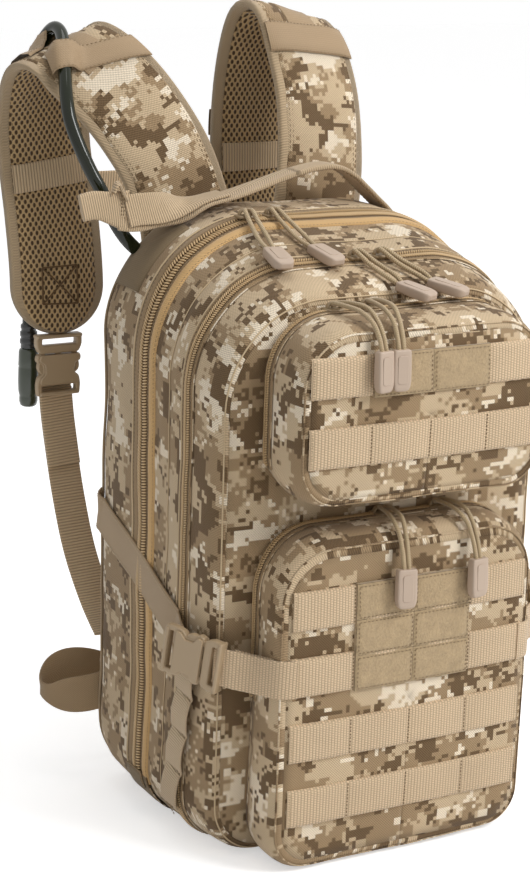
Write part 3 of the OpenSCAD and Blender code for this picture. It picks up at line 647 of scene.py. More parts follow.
def stitches(b, path, normal, mat="thread", length=2.6, gap=1.3, r=0.34):
    """A row of short raised threads along a path."""
    path = np.asarray(path, float)
    d = run(path)
    at = np.arange(length / 2, d[-1], length + gap)
    if not len(at):
        return
    n = unit(read(at, d, np.broadcast_to(np.asarray(normal, float), path.shape)))
    t = unit(read(at + 0.6, d, path) - read(at - 0.6, d, path))
    s = unit(np.cross(n, t))
    b.copies(SMALL, read(at, d, path) + n * 0.15, t * length / 2, s * r, n * r, mat)


def ridge(b, path, normal, r, mat, flat=1.0):
    """A rounded cord of cloth along a path, such as a piped seam."""
    b.sweep(path, circle(8) * (r, r * flat), normal, mat)


# ---------------------------------------------------------------- body forms
BODY = Surf([
    (98, 228, 11, 386, 74, 34), (97.6, 236, 7, 392, 79, 38), (95.5, 243, 3.5, 397.5, 82, 40),
    (91, 248, 1.2, 401, 84, 41), (84, 250.5, 0.4, 402.5, 85, 41), (65, 252, 0.2, 403, 86, 40),
    (48, 250.5, 0.3, 401.2, 85, 39), (40, 249.5, 0.3, 400.4, 85, 38),
    (33, 250, 0.3, 399.6, 85, 38), (26, 249.4, 0.3, 397.6, 84, 37),
    (16, 249, 0.3, 393.8, 83, 37), (8, 250, 0.3, 391.4, 82, 36), (1.2, 248.8, 0.5, 388.6, 80, 36),
    (0, 248.2, 0.6, 387.4, 80, 36), (-1.2, 248.6, 0.5, 387.6, 80, 36),
    (-8, 249.6, 0.3, 385.8, 78, 36), (-16, 248.8, 0.3, 382.4, 77, 36),
    (-23, 248, 0.3, 379.8, 76, 36), (-30, 247.4, 0.3, 377.2, 75, 36),
    (-45, 245, 0.3, 372.6, 73, 36), (-54, 241, 0.8, 368.4, 71, 35),
    (-58.5, 236, 2.4, 364.6, 69, 34), (-60, 229, 6, 360, 66, 32)], seed=2.0)
UPPER = Surf([
    (-60.2, 178, 246, 355.5, 38, 26), (-66, 181.5, 243.4, 356.8, 39, 28),
    (-75, 183.5, 241.6, 357.2, 39, 28), (-88, 184, 241.0, 356.4, 39, 28),
    (-98, 182.5, 241.6, 354.8, 38, 28), (-103.4, 179.5, 243, 352.4, 36, 27),
    (-106, 175.5, 245, 349.6, 34, 26), (-107, 170, 248, 346.4, 31, 24)], 0.8, 11.0)
LOWER = Surf([
    (-60.2, 188, 2, 220, 38, 26), (-66, 191.5, 0.8, 220.8, 39, 26),
    (-74, 194, 0.4, 221, 39, 25), (-84, 194.6, 0.4, 220, 38, 25),
    (-91, 193, 0.8, 217.6, 37, 25), (-95.4, 190, 2.2, 214.6, 36, 24),
    (-97.6, 186, 4.4, 211.6, 34, 23), (-98.5, 180.5, 7.2, 208, 31, 21)], 0.8, 23.0)
BULGE = 2.6
UP_BLEND = ("front_half", "upper_flap", (0, -0.107, 0.253), (0, -0.107, 0.269))
LOW_BLEND = ("front_half", "lower_flap", (0, -0.0985, 0.102), (0, -0.0985, 0.118))
FOOT_BLEND = ("root", "front_half", (0, 0.045, 0.01), (0, 0.021, 0.01))
FACES = {"upper": (297, 85.5, 49.5, -107), "lower": (107.5, 90.5, 100.5, -98.5)}


def face_y(which, x, z):
    """Front face of a pocket at x, z."""
    mid_z, half_w, half_h, front = FACES[which]
    k = ((np.abs(x) / half_w) ** 5 + (np.abs(z - mid_z) / half_h) ** 5) ** 0.2
    y = front - BULGE * (1 - np.minimum(k, 1) ** 2)
    return y + 0.11 * np.maximum(np.abs(x) - (half_w - 2), 0) ** 2


# ---------------------------------------------------------------- zippers
def zipper(b, surf, y0, way, s_lo, s_hi, tape, coil, pitch, fat, lift=0.9):
    """One half of a coil zipper along the outline: way is +1 towards +Y."""
    ss = np.linspace(s_lo, s_hi, int((s_hi - s_lo) / 3.2))
    offs = np.array([0.3, coil * 0.9, coil + 0.6, (coil + tape) / 2, tape - 0.6, tape, tape])
    hs = np.array([0.2, 0.2, 0.5, 0.6, 0.6, 0.3, -0.8]) + lift - 0.5
    skin(b, surf, y0 + way * offs, ss, "tape", hs)
    # dark strip under the coil: painted shade that shows between the teeth
    skin(b, surf, y0 + way * np.array([0.05, coil * 0.6, coil]), ss, "dark", lift + 0.1)
    at = np.arange(s_lo + pitch, s_hi - pitch, pitch)
    middle = surf.at(y0 + way * coil * 0.52, at, lift + fat * 0.55)
    first = surf.at(y0 + way * 0.1, at - pitch * 0.35, lift + fat * 0.7)
    last = surf.at(y0 + way * coil, at + pitch * 0.75, lift + fat * 0.35)
    along, up = (last - first) / 2, surf.normal(y0, at)
    b.copies(BEAD, middle, along, unit(np.cross(up, along)) * pitch * 0.40, up * fat, "coil")
    for off in (coil + 0.9, tape - 1.6):
        line = surf.at(y0 + way * off, ss, lift + 0.35)
        stitches(b, line, surf.normal(y0, ss), "thread", *FINE)


def piping(b, surf, y, s_lo, s_hi, r, mat, h=0.3):
    """A thin rounded edge round a bag at station y."""
    ss = np.linspace(s_lo, s_hi, int((s_hi - s_lo) / 3.5))
    path, n = surf.at(y, ss, h), surf.normal(y, ss)
    side = unit(np.cross(n, np.gradient(path, axis=0)))
    a = np.radians(np.linspace(-62, 62, 7))[:, None, None]
    b.grid(path + r * (n * np.cos(a) + side * np.sin(a)), mat)


FULL = 2 * BODY.half
S_ALL = np.linspace(0, FULL, 330)
S_ZIP = BODY.height(27)
MAIN_Y, MID_Y = 33.0, -23.0
# width, pitch and height of each zipper's coil
MAIN_COIL, MID_COIL, POCKET_COIL = (5.4, 1.9, 1.0), (3.2, 1.6, 0.8), (2.9, 1.6, 0.8)
# length, gap and radius of the threads
FINE, SMALL_FINE, BOLD = (1.8, 1.0, 0.22), (1.8, 1.0, 0.2), (2.4, 1.3, 0.33)

# rear shell
b = Build("rear_cloth", "camo2")
skin(b, BODY, [33.4, 36, 40, 44, 48, 54, 62, 70, 78, 84, 88, 91.5, 94, 96, 97.3, 98], S_ALL, "camo2")
piping(b, BODY, 46.6, S_ZIP - 30, FULL - S_ZIP + 30, 1.15, "piping")
piping(b, BODY, 95.5, 0, FULL, 1.6, "binding", 0.6)
b.done("root", replaces="rear_shell", thick=1.8)
b = Build("rear_panel", "flat")
lid(b, BODY, 98, 1, 1.5, "flat")
b.done("root", replaces="rear_shell", thick=1.6)

# front shell of the main and middle compartments
b = Build("front_cloth", "camo2")
skin(b, BODY, [32.6, 30, 26, 21, 16, 12, 8, 4, 1.2, 0, -1.2, -4, -8, -12, -16, -20, -22.6],
     S_ALL, "camo2", flip=True)
piping(b, BODY, 0.0, 0, FULL, 0.55, "piping", 0.25)
b.done("front_half", replaces="front_shell", thick=1.6)
b = Build("middle_cloth", "camo")
skin(b, BODY, [-23.4, -26, -30, -36, -42, -48, -53, -56.5, -58.5, -59.6, -60], S_ALL, "camo",
     flip=True)
lid(b, BODY, -60, -1, 1.2, "camo3")
piping(b, BODY, -58.9, 0, FULL, 0.6, "piping", 0.2)
b.done("front_half", replaces="mid_shell", thick=1.6)

# gusset that joins both halves under the base, below the zipper's ends
b = Build("foot_gusset", "camo2")
GUSSET_Y = [47, 44, 41, 38, 35, 33, 31, 28, 25, 22, 19]
for low in (np.linspace(FULL - S_ZIP - 2, FULL, 40), np.linspace(0, S_ZIP + 2, 40)):
    skin(b, BODY, GUSSET_Y, low, "camo2", 1.3)
for s0, s1 in ((S_ZIP - 7, S_ZIP + 4), (FULL - S_ZIP - 4, FULL - S_ZIP + 7)):
    skin(b, BODY, [42, 40, 37, 33, 29, 26, 24], np.linspace(s0, s1, 5), "flat", 2.6)
b.done(blend=FOOT_BLEND, thick=0.9)

# main zipper
b = Build("main_zipper_rear", "tape")
zipper(b, BODY, MAIN_Y, 1, S_ZIP, FULL - S_ZIP, 12.6, *MAIN_COIL)
b.done("root", replaces="main_zip_rear")
b = Build("main_zipper_front", "tape")
zipper(b, BODY, MAIN_Y, -1, S_ZIP, FULL - S_ZIP, 8.4, *MAIN_COIL)
lip = np.linspace(S_ZIP - 4, FULL - S_ZIP + 4, int((FULL - 2 * S_ZIP + 8) / 3.5))
skin(b, BODY, [25.6, 25.3, 24.2, 22.6, 20.8, 19.4, 18.7, 18.5], lip, "lip",
     [0.2, 1.1, 1.7, 1.9, 1.8, 1.2, 0.6, -0.4])
ss = np.linspace(S_ZIP, FULL - S_ZIP, 300)
LIP_SEAM = 19.5
stitches(b, BODY.at(LIP_SEAM, ss, 1.1), BODY.normal(LIP_SEAM, ss), "thread", *SMALL_FINE)
b.done("front_half", replaces="main_zip_front")

# middle zipper
b = Build("middle_zipper", "tape")
for way in (1, -1):
    zipper(b, BODY, MID_Y, way, 12, FULL - 12, 6.0, *MID_COIL)
piping(b, BODY, -16.4, 12, FULL - 12, 0.8, "piping")
piping(b, BODY, -29.4, 12, FULL - 12, 0.7, "camo", 0.2)
b.done("front_half", replaces="mid_zip")


# ---------------------------------------------------------------- pockets
POCKET_ZIP = -66.2


def pocket(tag, surf, blend, fold, seed):
    """A front pocket: fixed edge, flap, and the two halves of its zipper."""
    full = 2 * surf.half
    s_all = np.linspace(0, full, 260)
    s_lo = surf.height(fold + 1, -66)
    edge = surf.rows[0, 0]
    b = Build(f"{tag}_pocket_side", "camo")
    skin(b, surf, [-60.2, -62, -64, -66], s_all, "camo", flip=True)
    b.done("front_half", replaces=f"{tag}_pocket_base", thick=1.2)
    b = Build(f"{tag}_pocket_cloth", "camo3")
    ys = np.concatenate([np.linspace(-66.4, edge + 11, 7), np.linspace(edge + 8, edge, 6)])
    skin(b, surf, ys, s_all, "camo3", flip=True)
    lid(b, surf, edge, -1, BULGE, "camo3", seed=seed)
    piping(b, surf, edge + 1.6, 0, full, 0.75, "camo3", 0.2)
    b.done(blend=blend, thick=1.4,
           replaces=(f"{tag}_pocket_panel", f"{tag}_pocket_base"))
    b = Build(f"{tag}_zipper_fixed", "tape")
    zipper(b, surf, POCKET_ZIP, 1, s_lo, full - s_lo, 4.6, *POCKET_COIL)
    piping(b, surf, -61.3, s_lo - 4, full - s_lo + 4, 0.8, "piping")
    b.done("front_half", replaces=f"{tag}_zip_fixed")
    b = Build(f"{tag}_zipper_flap", "tape")
    zipper(b, surf, POCKET_ZIP, -1, s_lo, full - s_lo, 6.4, *POCKET_COIL)
    piping(b, surf, -73.0, s_lo, full - s_lo, 0.7, "camo3", 0.2)
    b.done(blend=blend, replaces=f"{tag}_zip_flap")


pocket("upper", UPPER, UP_BLEND, 262, 31.0)
pocket("lower", LOWER, LOW_BLEND, 110, 37.0)


# webbing rows with their stitched cells, and the loop patches
WEB = 25.4


def corners(x0, z0, x1, z1):
    """The corners of a rectangle, with the first one again at the end."""
    return [(x0, z0), (x1, z0), (x1, z1), (x0, z1), (x0, z0)]


def face_stitches(b, which, x, z, off, mat, length, gap, r):
    """Stitches on a pocket's face, off by a distance towards the front."""
    stitches(b, xyz(x, face_y(which, x, z) - off, z), (0, -1, 0), mat, length, gap, r)


def web_row(b, which, z0, length):
    """A webbing row that is stitched down into cells."""
    cells, lift, puff = 4, 0.7, 1.5
    x, z = net(np.linspace(-length / 2, length / 2, 121),
               z0 + WEB * np.array([0, 0, 0.03, 0.12, 0.3, 0.5, 0.7, 0.88, 0.97, 1, 1]))
    hs = np.array([-0.4, 0.5, 0.9, 1, 1, 1, 1, 1, 0.9, 0.5, -0.4])[:, None]
    bulge = np.abs(np.sin(PI * (x / length + 0.5) * cells)) ** 0.7
    end = np.clip((length / 2 - np.abs(x)) / 3, 0, 1)
    h = hs * (lift + 1.0 + puff * bulge * end * np.clip(hs, 0, 1))
    b.grid(xyz(x, face_y(which, x, z) - h, z), "row", uv=flat_uv(z, x))
    zz = np.linspace(z0 + 1, z0 + WEB - 1, 12)
    for k in range(1, cells):
        at = -length / 2 + k * length / cells
        face_stitches(b, which, at, zz, lift + 1.25, "thread", 1.7, 0.7, 0.42)
    for side in (-1, 1):
        at = side * (length / 2 - 2)
        face_stitches(b, which, at, zz, lift + 1.3, "threadlight", 1.7, 0.9, 0.35)


def loop_block(b, which, z0, height, rows):
    """Two columns of loop patches, stitched round and held on one backing."""
    cols, cell, lift, seam, edge = 2, 43.0, 2.2, 1.6, 1.2
    for i in range(cols):
        for j in range(rows):
            x0, x1 = -cell * cols / 2 + i * cell, -cell * cols / 2 + (i + 1) * cell
            a, c = z0 + height * j / rows, z0 + height * (j + 1) / rows
            x, z = net(np.linspace(x0 + 0.15, x1 - 0.15, 16), np.linspace(a + 0.15, c - 0.15, 12))
            d = np.minimum.reduce([x - x0, x1 - x, z - a, c - z])
            rise = np.clip(d / edge, 0, 1) ** 0.5
            h = lift + 0.2 + 1.3 * rise + lump(xyz(x, 0, z), 5, 0.25, 3)
            b.grid(xyz(x, face_y(which, x, z) - h, z), "loop", uv=flat_uv(x, z))
            sides = corners(x0 + seam, a + seam, x1 - seam, c - seam)
            for (xa, za), (xb, zb) in zip(sides[:-1], sides[1:]):
                q = np.linspace(0, 1, 12)
                face_stitches(b, which, xa + (xb - xa) * q, za + (zb - za) * q, lift + 1.5,
                              "thread", 1.9, 1.0, 0.3)
    sides = corners(-cell * cols / 2, z0, cell * cols / 2, z0 + height)
    ring = []
    for (xa, za), (xb, zb) in zip(sides[:-1], sides[1:]):
        q = np.linspace(0, 1, 24, endpoint=False)
        ring += list(zip(xa + (xb - xa) * q, za + (zb - za) * q))
    x, z = np.array(ring + ring[:1]).T
    b.grid(np.stack([xyz(x, face_y(which, x, z) - h, z) for h in (0.2, lift + 0.5)]), "loop")



ROW = 172.0
LOWER_ROW = ROW + 4
b = Build("upper_web_rows", "row")
web_row(b, "upper", 269.0, ROW)
web_row(b, "upper", 312.8, ROW)
loop_block(b, "upper", 311.6, 27.0, 1)
b.done("upper_flap", replaces="upper_rows")
b = Build("lower_web_rows_top", "row")
web_row(b, "lower", 119.6, LOWER_ROW)
web_row(b, "lower", 163.4, LOWER_ROW)
loop_block(b, "lower", 119.0, 70.4, 3)
b.done("lower_flap", replaces="lower_rows_top")
b = Build("lower_web_rows", "row")
web_row(b, "lower", 32.0, LOWER_ROW)
web_row(b, "lower", 75.8, LOWER_ROW)
b.done("front_half", replaces="lower_rows")

# daisy-chain webbing on both sides
DAISY, DAISY_LOOPS, DAISY_LEAN = 112, 4, math.radians(-12)
b = Build("side_daisy_webbing", "weblong")
for side in (-1, 1):
    l = np.linspace(0, DAISY, 90)
    puff = 2.6 * np.abs(np.sin(PI * l / DAISY * DAISY_LOOPS)) ** 0.6
    path = xyz(side * (126.0 + puff), -15 + l * math.sin(DAISY_LEAN), 24 + l * math.cos(DAISY_LEAN))
    b.sweep(path, oval(20.0, 1.5), (0, 1, 0.0), "weblong")
    q = np.linspace(-9, 9, 10)
    for k in range(DAISY_LOOPS + 1):
        at = k * DAISY / DAISY_LOOPS
        for gap in (0, 2.4):
            path = xyz(side * 127.2, -15 + at * math.sin(DAISY_LEAN) + q,
                       24 + at * math.cos(DAISY_LEAN) + gap + 0.45 * q)
            stitches(b, path, (side, 0, 0), "thread", 2.2, 0.4, 0.45)
b.done("front_half", replaces="side_webbing")


# ---------------------------------------------------------------- shoulder straps
LEFT = [(-58, 104.8, 380), (-62, 104.5, 398), (-75, 109, 432), (-97, 121, 468),
        (-118, 135, 491), (-130, 149, 498), (-135, 163, 489), (-133, 176, 462),
        (-129, 181, 428), (-124, 180.5, 388), (-121, 177.5, 345), (-122, 173, 303)]
RIGHT = [(42, 104.8, 380), (44, 104.5, 398), (48, 109, 430), (50, 120, 470), (46, 133, 502),
         (40, 147, 518), (36, 161, 514), (35, 174, 482), (35, 180.5, 440), (36, 180, 395),
         (41, 176, 350), (47, 171, 303)]
LEAN_L, LEAN_R = (1, 0, 0.4), (1, 0, -0.3)
STRAP_W, STRAP_T = 66.0, 11.5


ROUTE = [(-104.4, 88, 373.4), (-114, 88, 383), (-123, 89, 397), (-129.5, 90, 412.5),
         (-137, 94, 428), (-143, 98.5, 444), (-146.3, 104.5, 459), (-145.5, 112, 473),
         (-142, 122, 487), (-138, 132.5, 501), (-134, 146, 511), (-134, 158, 513),
         (-137, 169.5, 502.5), (-140.5, 181.5, 484), (-142.5, 189, 464), (-143.5, 192.5, 446),
         (-143, 194, 425), (-141, 193.5, 400), (-138, 192, 370), (-137, 190, 340),
         (-137, 188, 322), (-137, 188, 304)]
TUBE = track(ROUTE)


class Strap:
    """Coordinates on a shoulder strap: across, along and outwards."""

    def __init__(self, path, lean):
        self.p = track(path, 2.0)
        self.x, self.n, self.t = frames(self.p, lean)
        self.d = run(self.p)
        self.length = self.d[-1]

    def at(self, a, l, h):
        a, l, h = np.broadcast_arrays(*(np.asarray(q, float) for q in (a, l, h)))
        over = np.maximum(l - self.length, 0)[..., None] * self.t[-1]
        across, out = unit(read(l, self.d, self.x)), unit(read(l, self.d, self.n))
        return read(l, self.d, self.p) + a[..., None] * across + h[..., None] * out + over

    def normal(self, l):
        return unit(read(l, self.d, self.n))


def shoulder(tag, path, lean):
    """A shoulder strap: cloth in front, mesh behind, and a bound edge round both."""
    s = Strap(path, lean)
    r, tip, face = STRAP_W / 2, 33, 15
    ls = np.concatenate([np.linspace(0, s.length - tip, 110),
                         s.length - tip + tip * np.sin(np.linspace(0.04, PI / 2 * 0.985, 16))])
    us = np.concatenate([np.linspace(-1, 1, face), np.linspace(1, -1, face)[1:-1]])
    way = np.where(np.arange(len(us)) < face, 1, -1)[None]
    round_end = np.clip((ls - (s.length - r)) / r, 0, 0.9999)
    half = r * np.sqrt(1 - round_end ** 2.2) - 1.5
    a, l = half[:, None] * us[None], ls[:, None]
    thick = STRAP_T / 2 - (STRAP_T / 2 - 2.0) * np.abs(us) ** 4
    p = s.at(a, l, way * (thick[None] + lump(xyz(a, l, 0), 30, 0.5, 9)))
    uv = flat_uv(np.concatenate([a, a[:, :1]], 1), l)
    core = Build(f"{tag}_strap_pad", "camo", "mesh")
    core.grid(p, ["camo"] * 14 + ["mesh"] * 14, uv=uv, wrap=True)
    core.fan(p[0], "camo")
    core.fan(p[-1][::-1], "mesh")
    core.done("root", replaces=f"shoulder_strap_{tag}")

    edge = Build(f"{tag}_strap_binding", "binding")
    straight, arc = np.linspace(0, s.length - r, 120), np.linspace(0, PI, 34)[1:-1]
    inset = r - 4.2
    sides = np.concatenate([0 * straight - 1, -np.cos(arc), 0 * straight + 1])
    down = np.concatenate([0 * straight, np.sin(arc), 0 * straight])
    along = np.concatenate([straight, s.length - r + inset * np.sin(arc), straight[::-1]])
    section = power(circle(16), (0.55, 0.5)) * (5.6, 3.0)
    out, high = section.T[:, None]
    rise = 1.0 + 0.45 * np.clip(-out / 5.6, 0, 1)
    reach = inset + out
    edge.grid(s.at(reach * sides[:, None], along[:, None] + out * down[:, None], high * rise),
              "binding", wrap=True)
    for off, lift in ((-1.4, 3.5), (-3.6, 3.9)):
        for way in (1, -1):
            line = along + off * down
            stitches(edge, s.at((inset + off) * sides, line, way * lift), way * s.normal(line),
                     "thread", *BOLD)
    edge.done("root", replaces=f"shoulder_strap_{tag}")
    return s


strap_l = shoulder("left", LEFT, LEAN_L)
strap_r = shoulder("right", RIGHT, LEAN_R)


def drape(s, a, l, low, high=STRAP_T / 2 + 11.5, reach=9.5):
    """Height of a band that lies on a strap and runs over the drink tube."""
    near = [np.argmin(np.linalg.norm(s.p - q, axis=1)) for q in TUBE]
    across = ((TUBE - s.p[near]) * s.x[near]).sum(1)
    along = np.array(near) * s.length / (len(s.p) - 1)
    far = np.sqrt((a[..., None] - across) ** 2 + (l[..., None] - along) ** 2).min(-1)
    k = np.clip((far - 2.5) / reach, 0, 1)
    return low + (high - low) * (0.5 + 0.5 * np.cos(PI * k))


def cross_band(b, s, l, width, a0=-34.5, a1=34.5, skew=0.0, slant=0.0, over_tube=False):
    """A band across a strap, from a0 to a1."""
    ls = (width * np.array([-0.5, -0.5, -0.47, -0.2, 0.2, 0.47, 0.5, 0.5]))[:, None]
    first = a0 + slant * ls
    a = first + (a1 - first) * np.linspace(0, 1, 49)[None]
    high = STRAP_T / 2 + 1.7 - (STRAP_T / 2 - 1.5) * np.abs(a / (STRAP_W / 2 + 1.5)) ** 5
    along = l + ls + skew * a
    if over_tube:
        high = drape(s, a, along, high)
    h = high + np.array([-0.8, 0.3, 0.8, 1, 1, 0.8, 0.3, -0.8])[:, None]
    b.grid(s.at(a, along, h), "smooth", uv=flat_uv(ls, a))
    for row in (2, 5):
        line = s.at(a[row], along[row], h[row] + 0.15)
        stitches(b, line, s.normal(along[row]), "thread", 2.0, 1.1, 0.2)


def long_band(b, s, l0, l1, width, a0=0.0):
    """A band that lies lengthwise on a strap."""
    ls = np.linspace(l0, l1, 40)[:, None]
    a = a0 + width * np.array([-0.5, -0.5, -0.46, 0, 0.46, 0.5, 0.5])[None] + 0 * ls
    h = STRAP_T / 2 + 0.6 + np.array([-1.0, 0.2, 0.6, 0.8, 0.6, 0.2, -1.0])
    b.grid(s.at(a, ls, h), "smooth", uv=flat_uv(a, ls))


b = Build("strap_keeper_bands", "smooth")
long_band(b, strap_l, 128, 170, 25, 3)
cross_band(b, strap_l, 136, 17, a0=-25, skew=-0.53, slant=0.6, over_tube=True)
cross_band(b, strap_l, 168, 17, a0=-26, a1=30, over_tube=True)
long_band(b, strap_r, 126, 235, 25)
cross_band(b, strap_r, 128, 20, skew=-0.2)
cross_band(b, strap_r, 240, 18)
b.done("root", replaces="strap_bands")

# crossed box stitch at each strap's foot, and the ribbed tape inside each strap
b = Build("strap_inner_tapes", "web", "mesh")
BOX = 13.0
for s in (strap_l, strap_r):
    foot = s.length - 33
    sides = corners(-BOX, -BOX, BOX, BOX)
    crossed = [((-BOX, -BOX), (BOX, BOX)), ((BOX, -BOX), (-BOX, BOX))]
    for (a0, l0), (a1, l1) in [*zip(sides[:-1], sides[1:]), *crossed]:
        q = np.linspace(0, 1, 16)
        path = s.at(a0 + (a1 - a0) * q, foot + l0 + (l1 - l0) * q, -(STRAP_T / 2 + 0.1))
        ridge(b, path, -s.normal(foot + 0 * q), 1.0, "dark", 0.6)
for s, l in ((strap_l, 251), (strap_r, 264)):
    u = np.linspace(-1, 1, 21)[None]
    ls = (l + 20 * np.array([-0.5, -0.5, -0.45, 0, 0.45, 0.5, 0.5]))[:, None]
    hs = np.array([-0.8, 0.4, 0.8, 1, 0.8, 0.4, -0.8])[:, None]
    h = -(STRAP_T / 2 - 1.5 * np.abs(u) ** 4 + 0.6 + hs)
    b.grid(s.at(28 * u, ls, h), "web", uv=flat_uv(ls, 28 * u))
b.done("root", replaces="strap_bands")


# ---------------------------------------------------------------- webbing
def strap(b, points, ref=(0, 0, 1), width=25.4, thick=1.6, mat="web"):
    """Flat webbing along a path, with its across and outward directions at ref."""
    path = track(points)
    b.sweep(path, oval(width, thick, 14, 0.3), ref, mat)
    x, y, _ = frames(path, ref)
    return path, x, y


ACROSS = (1, 0, 0)
HANGING = 24.5
BUCKLE_L, BUCKLE_R = (-122, 172, 288), (48, 170, 281)
b = Build("left_hanging_webbing", "web")
strap(b, [(-122, 177.8, 276), (-121, 176.6, 250), (-119, 172.5, 222), (-117, 163, 186),
          (-115, 148, 150), (-113, 125, 120), (-114, 99.1, 104)], ACROSS, HANGING)
strap(b, [(-122, 175.2, 262), (-120.5, 173.4, 240), (-118.5, 167, 208)], ACROSS, HANGING)
b.done(blend=("root", "strap_female_left", (0, 0.17, 0.18), (0, 0.17, 0.262)),
       replaces="strap_webbing")
b = Build("right_hanging_webbing", "web")
strap(b, [(48, 175.8, 269), (48, 175.8, 219), (64, 166, 190), (84, 150, 150),
          (108, 124, 120), (114, 99.1, 104)], ACROSS, HANGING)
b.done(blend=("root", "strap_female_right", (0, 0.17, 0.17), (0, 0.17, 0.255)),
       replaces="strap_webbing")
b = Build("waist_webbing", "flat", "web")
loop = track([(-113, 99.3, 64), (-134, 103, 61), (-151, 111, 61), (-157, 119.5, 64),
              (-150, 127, 68), (-132, 131, 72), (-112, 131, 68), (-90, 130, 56), (-60, 130, 46),
              (-14, 130, 46)])
pinch = np.exp(-(np.linalg.norm(loop - (-157, 119.5, 64), axis=1) / 13) ** 2)
b.sweep(loop, widths(WEB * (1 - 0.62 * pinch), oval(1, 1.6, 14, 0.3)), (0, 0.2, 1), "flat")
strap(b, [(16, 135.8, 46), (60, 135.8, 46), (100, 134, 50), (132, 122, 58), (130, 106, 66),
          (113, 99.3, 70)], mat="flat")
b.done("root", replaces="strap_webbing")
b = Build("sternum_webbing", "web")
strap(b, [(-122, 187.9, 400), (-104, 189, 399), (-52.3, 193.5, 398)])
strap(b, [(-23, 199.3, 398), (-2, 199.3, 398), (18, 199.3, 398.5), (31, 192, 400), (43, 187.7, 401)])
b.done("root", replaces="strap_webbing")
b = Build("lower_anchor_tabs", "web")
for side in (-1, 1):
    t, across = np.linspace(0, 1, 8)[:, None], np.linspace(0, 1, 6)[None]
    top, foot = 118 - 10 * across, 122 - 26 * across
    b.grid(xyz(side * (top + (foot - top) * t), 99.8 + 0.6 * np.sin(PI * t), 122 - 38 * t), "web")
b.done("root", replaces="strap_webbing", thick=1.2)

# compression straps: side run, then the run to the buckle
COMP_BUCKLE = np.array([134, -44, 137.0])
COMP_DIR = np.array([-0.453, -0.891, 0])
COMP_OUT = np.array([-0.891, 0.453, 0])


def comp_z(y):
    """Height of the side run of a compression strap."""
    return 196 - 0.42 * (94 - y)


b = Build("compression_strap_rear", "flat")
for side in (-1, 1):
    pts = [(side * (126.9 + 0.5 * math.sin(q)), y, comp_z(y)) for q, y in
           zip(np.linspace(0, 9, 24), np.linspace(99, -19, 24))]
    pts[0] = (side * 121, 99.5, comp_z(99))
    path, x, n = strap(b, pts, thick=1.5, mat="flat")
    for off in (-10.9, 10.9):
        for way in (1, -1):
            stitches(b, path + x * off + way * n * 0.95, way * n, "threadlight", 1.6, 1.2, 0.22)
b.done(blend=("root", "front_half", (0, 0.06, 0.15), (0, -0.005, 0.15)),
       replaces="compression_rear")
b = Build("compression_strap_front", "flat")
under = COMP_BUCKLE + 5.8 * COMP_OUT
pts = [(126.9, -18.5, comp_z(-18)), under + (1.5, 4, 2.6),
       COMP_BUCKLE + 5.8 * 0.9 * COMP_OUT + 9 * COMP_DIR + (0, 0, 0.4)]
for side in (-1, 1):
    strap(b, mirror(side, pts), thick=1.5, mat="flat")
b.done(blend=("front_half", "lower_flap", (0.126, -0.019, 0.15), (0.13, -0.042, 0.14)),
       replaces="compression_mid")

# grab handle: doubled ribbed webbing, folded on itself at its left end
HANDLE = [(-127, 67.8, 403.5), (-119, 68, 401.5), (-108, 69, 399), (-97, 70, 398.6),
          (-82, 70, 401.5), (-66, 70, 406), (-45, 70, 410), (-28, 70, 414.5), (0, 70, 422.5),
          (22, 70, 426.5), (36, 70, 425.5), (47, 70, 420), (56, 70, 412.5), (65, 70, 404.5),
          (73, 70, 397.5), (79, 70, 391)]
path = track(HANDLE, 1.6)
place = path[:, 0]
turn = np.clip((place + 112) / 50, 0, 1)[:, None]
turn = turn * turn * (3 - 2 * turn)
ref = (1 - turn) * np.array([0, 0.2, 1.0]) + turn * np.array([0, 1.0, 0.0])
waist = 1 - 0.42 * np.exp(-((place + 98) / 15) ** 2) - 0.34 * np.exp(-((place - 8) / 42) ** 2)
thicker = 1 + 1.5 * (1 - waist)
sec = oval(WEB, 2.6, 22, 0.4) * np.stack([waist, thicker], 1)[:, None]
x, n, _ = frames(path, ref)
for tag, part, start, stop in (("left", place < 4, -0.098, -0.068),
                               ("right", place > 0, 0.076, 0.060)):
    b = Build(f"grab_handle_{tag}_half", "weblong")
    b.sweep(path[part], sec[part], ref[part], "weblong")
    for off in (-10.2, 10.2):
        line = path + x * off * waist[:, None] + n * (0.3 + thicker)[:, None]
        stitches(b, line[part], n[part], "thread", 2.2, 1.1, 0.28)
    if tag == "left":
        near = (place < -50) & (place > -124)
        fan = np.clip((place[near] + 124) / 60, 0, 1)
        over = path[near] - n[near] * 2.4
        over[:, 2] += 9 * np.sin(PI * fan) * (1 - fan)
        b.sweep(over, oval(21, 1.8, 16, 0.3), ref[near], "weblong")
    b.done(blend=("root", "grab_handle", (start, 0.07, 0.4), (stop, 0.07, 0.4)),
           replaces="grab_handle")
b = Build("handle_tabs_webbing", "weblong")
EDGE_X, EDGE_Z, EDGE_R = 44, 319.6, 81.6
for side, low, high in ((-1, 42, 60), (1, 8, 64)):
    ang = np.radians(np.linspace(low, high, 26))
    arc = xyz(side * (EDGE_X + EDGE_R * np.cos(ang)), 70, EDGE_Z + EDGE_R * np.sin(ang))
    b.sweep(arc, oval(23, 1.6, 14, 0.3), (0, 1, 0), "weblong")
plate = track([(-156, 66.4, 407), (-146, 67.3, 408.4), (-134, 67.2, 406.2), (-124, 67.6, 403.8)],
              1.2, 10)
wide = np.interp(plate[:, 0], [-156, -140, -128, -124], [17.5, 19, 24, 27])
b.sweep(plate, widths(wide, oval(1, 3.4, 16, 0.35)), (0, 0.12, 1), "weblong")
q = np.linspace(-12.5, 12.5, 16)
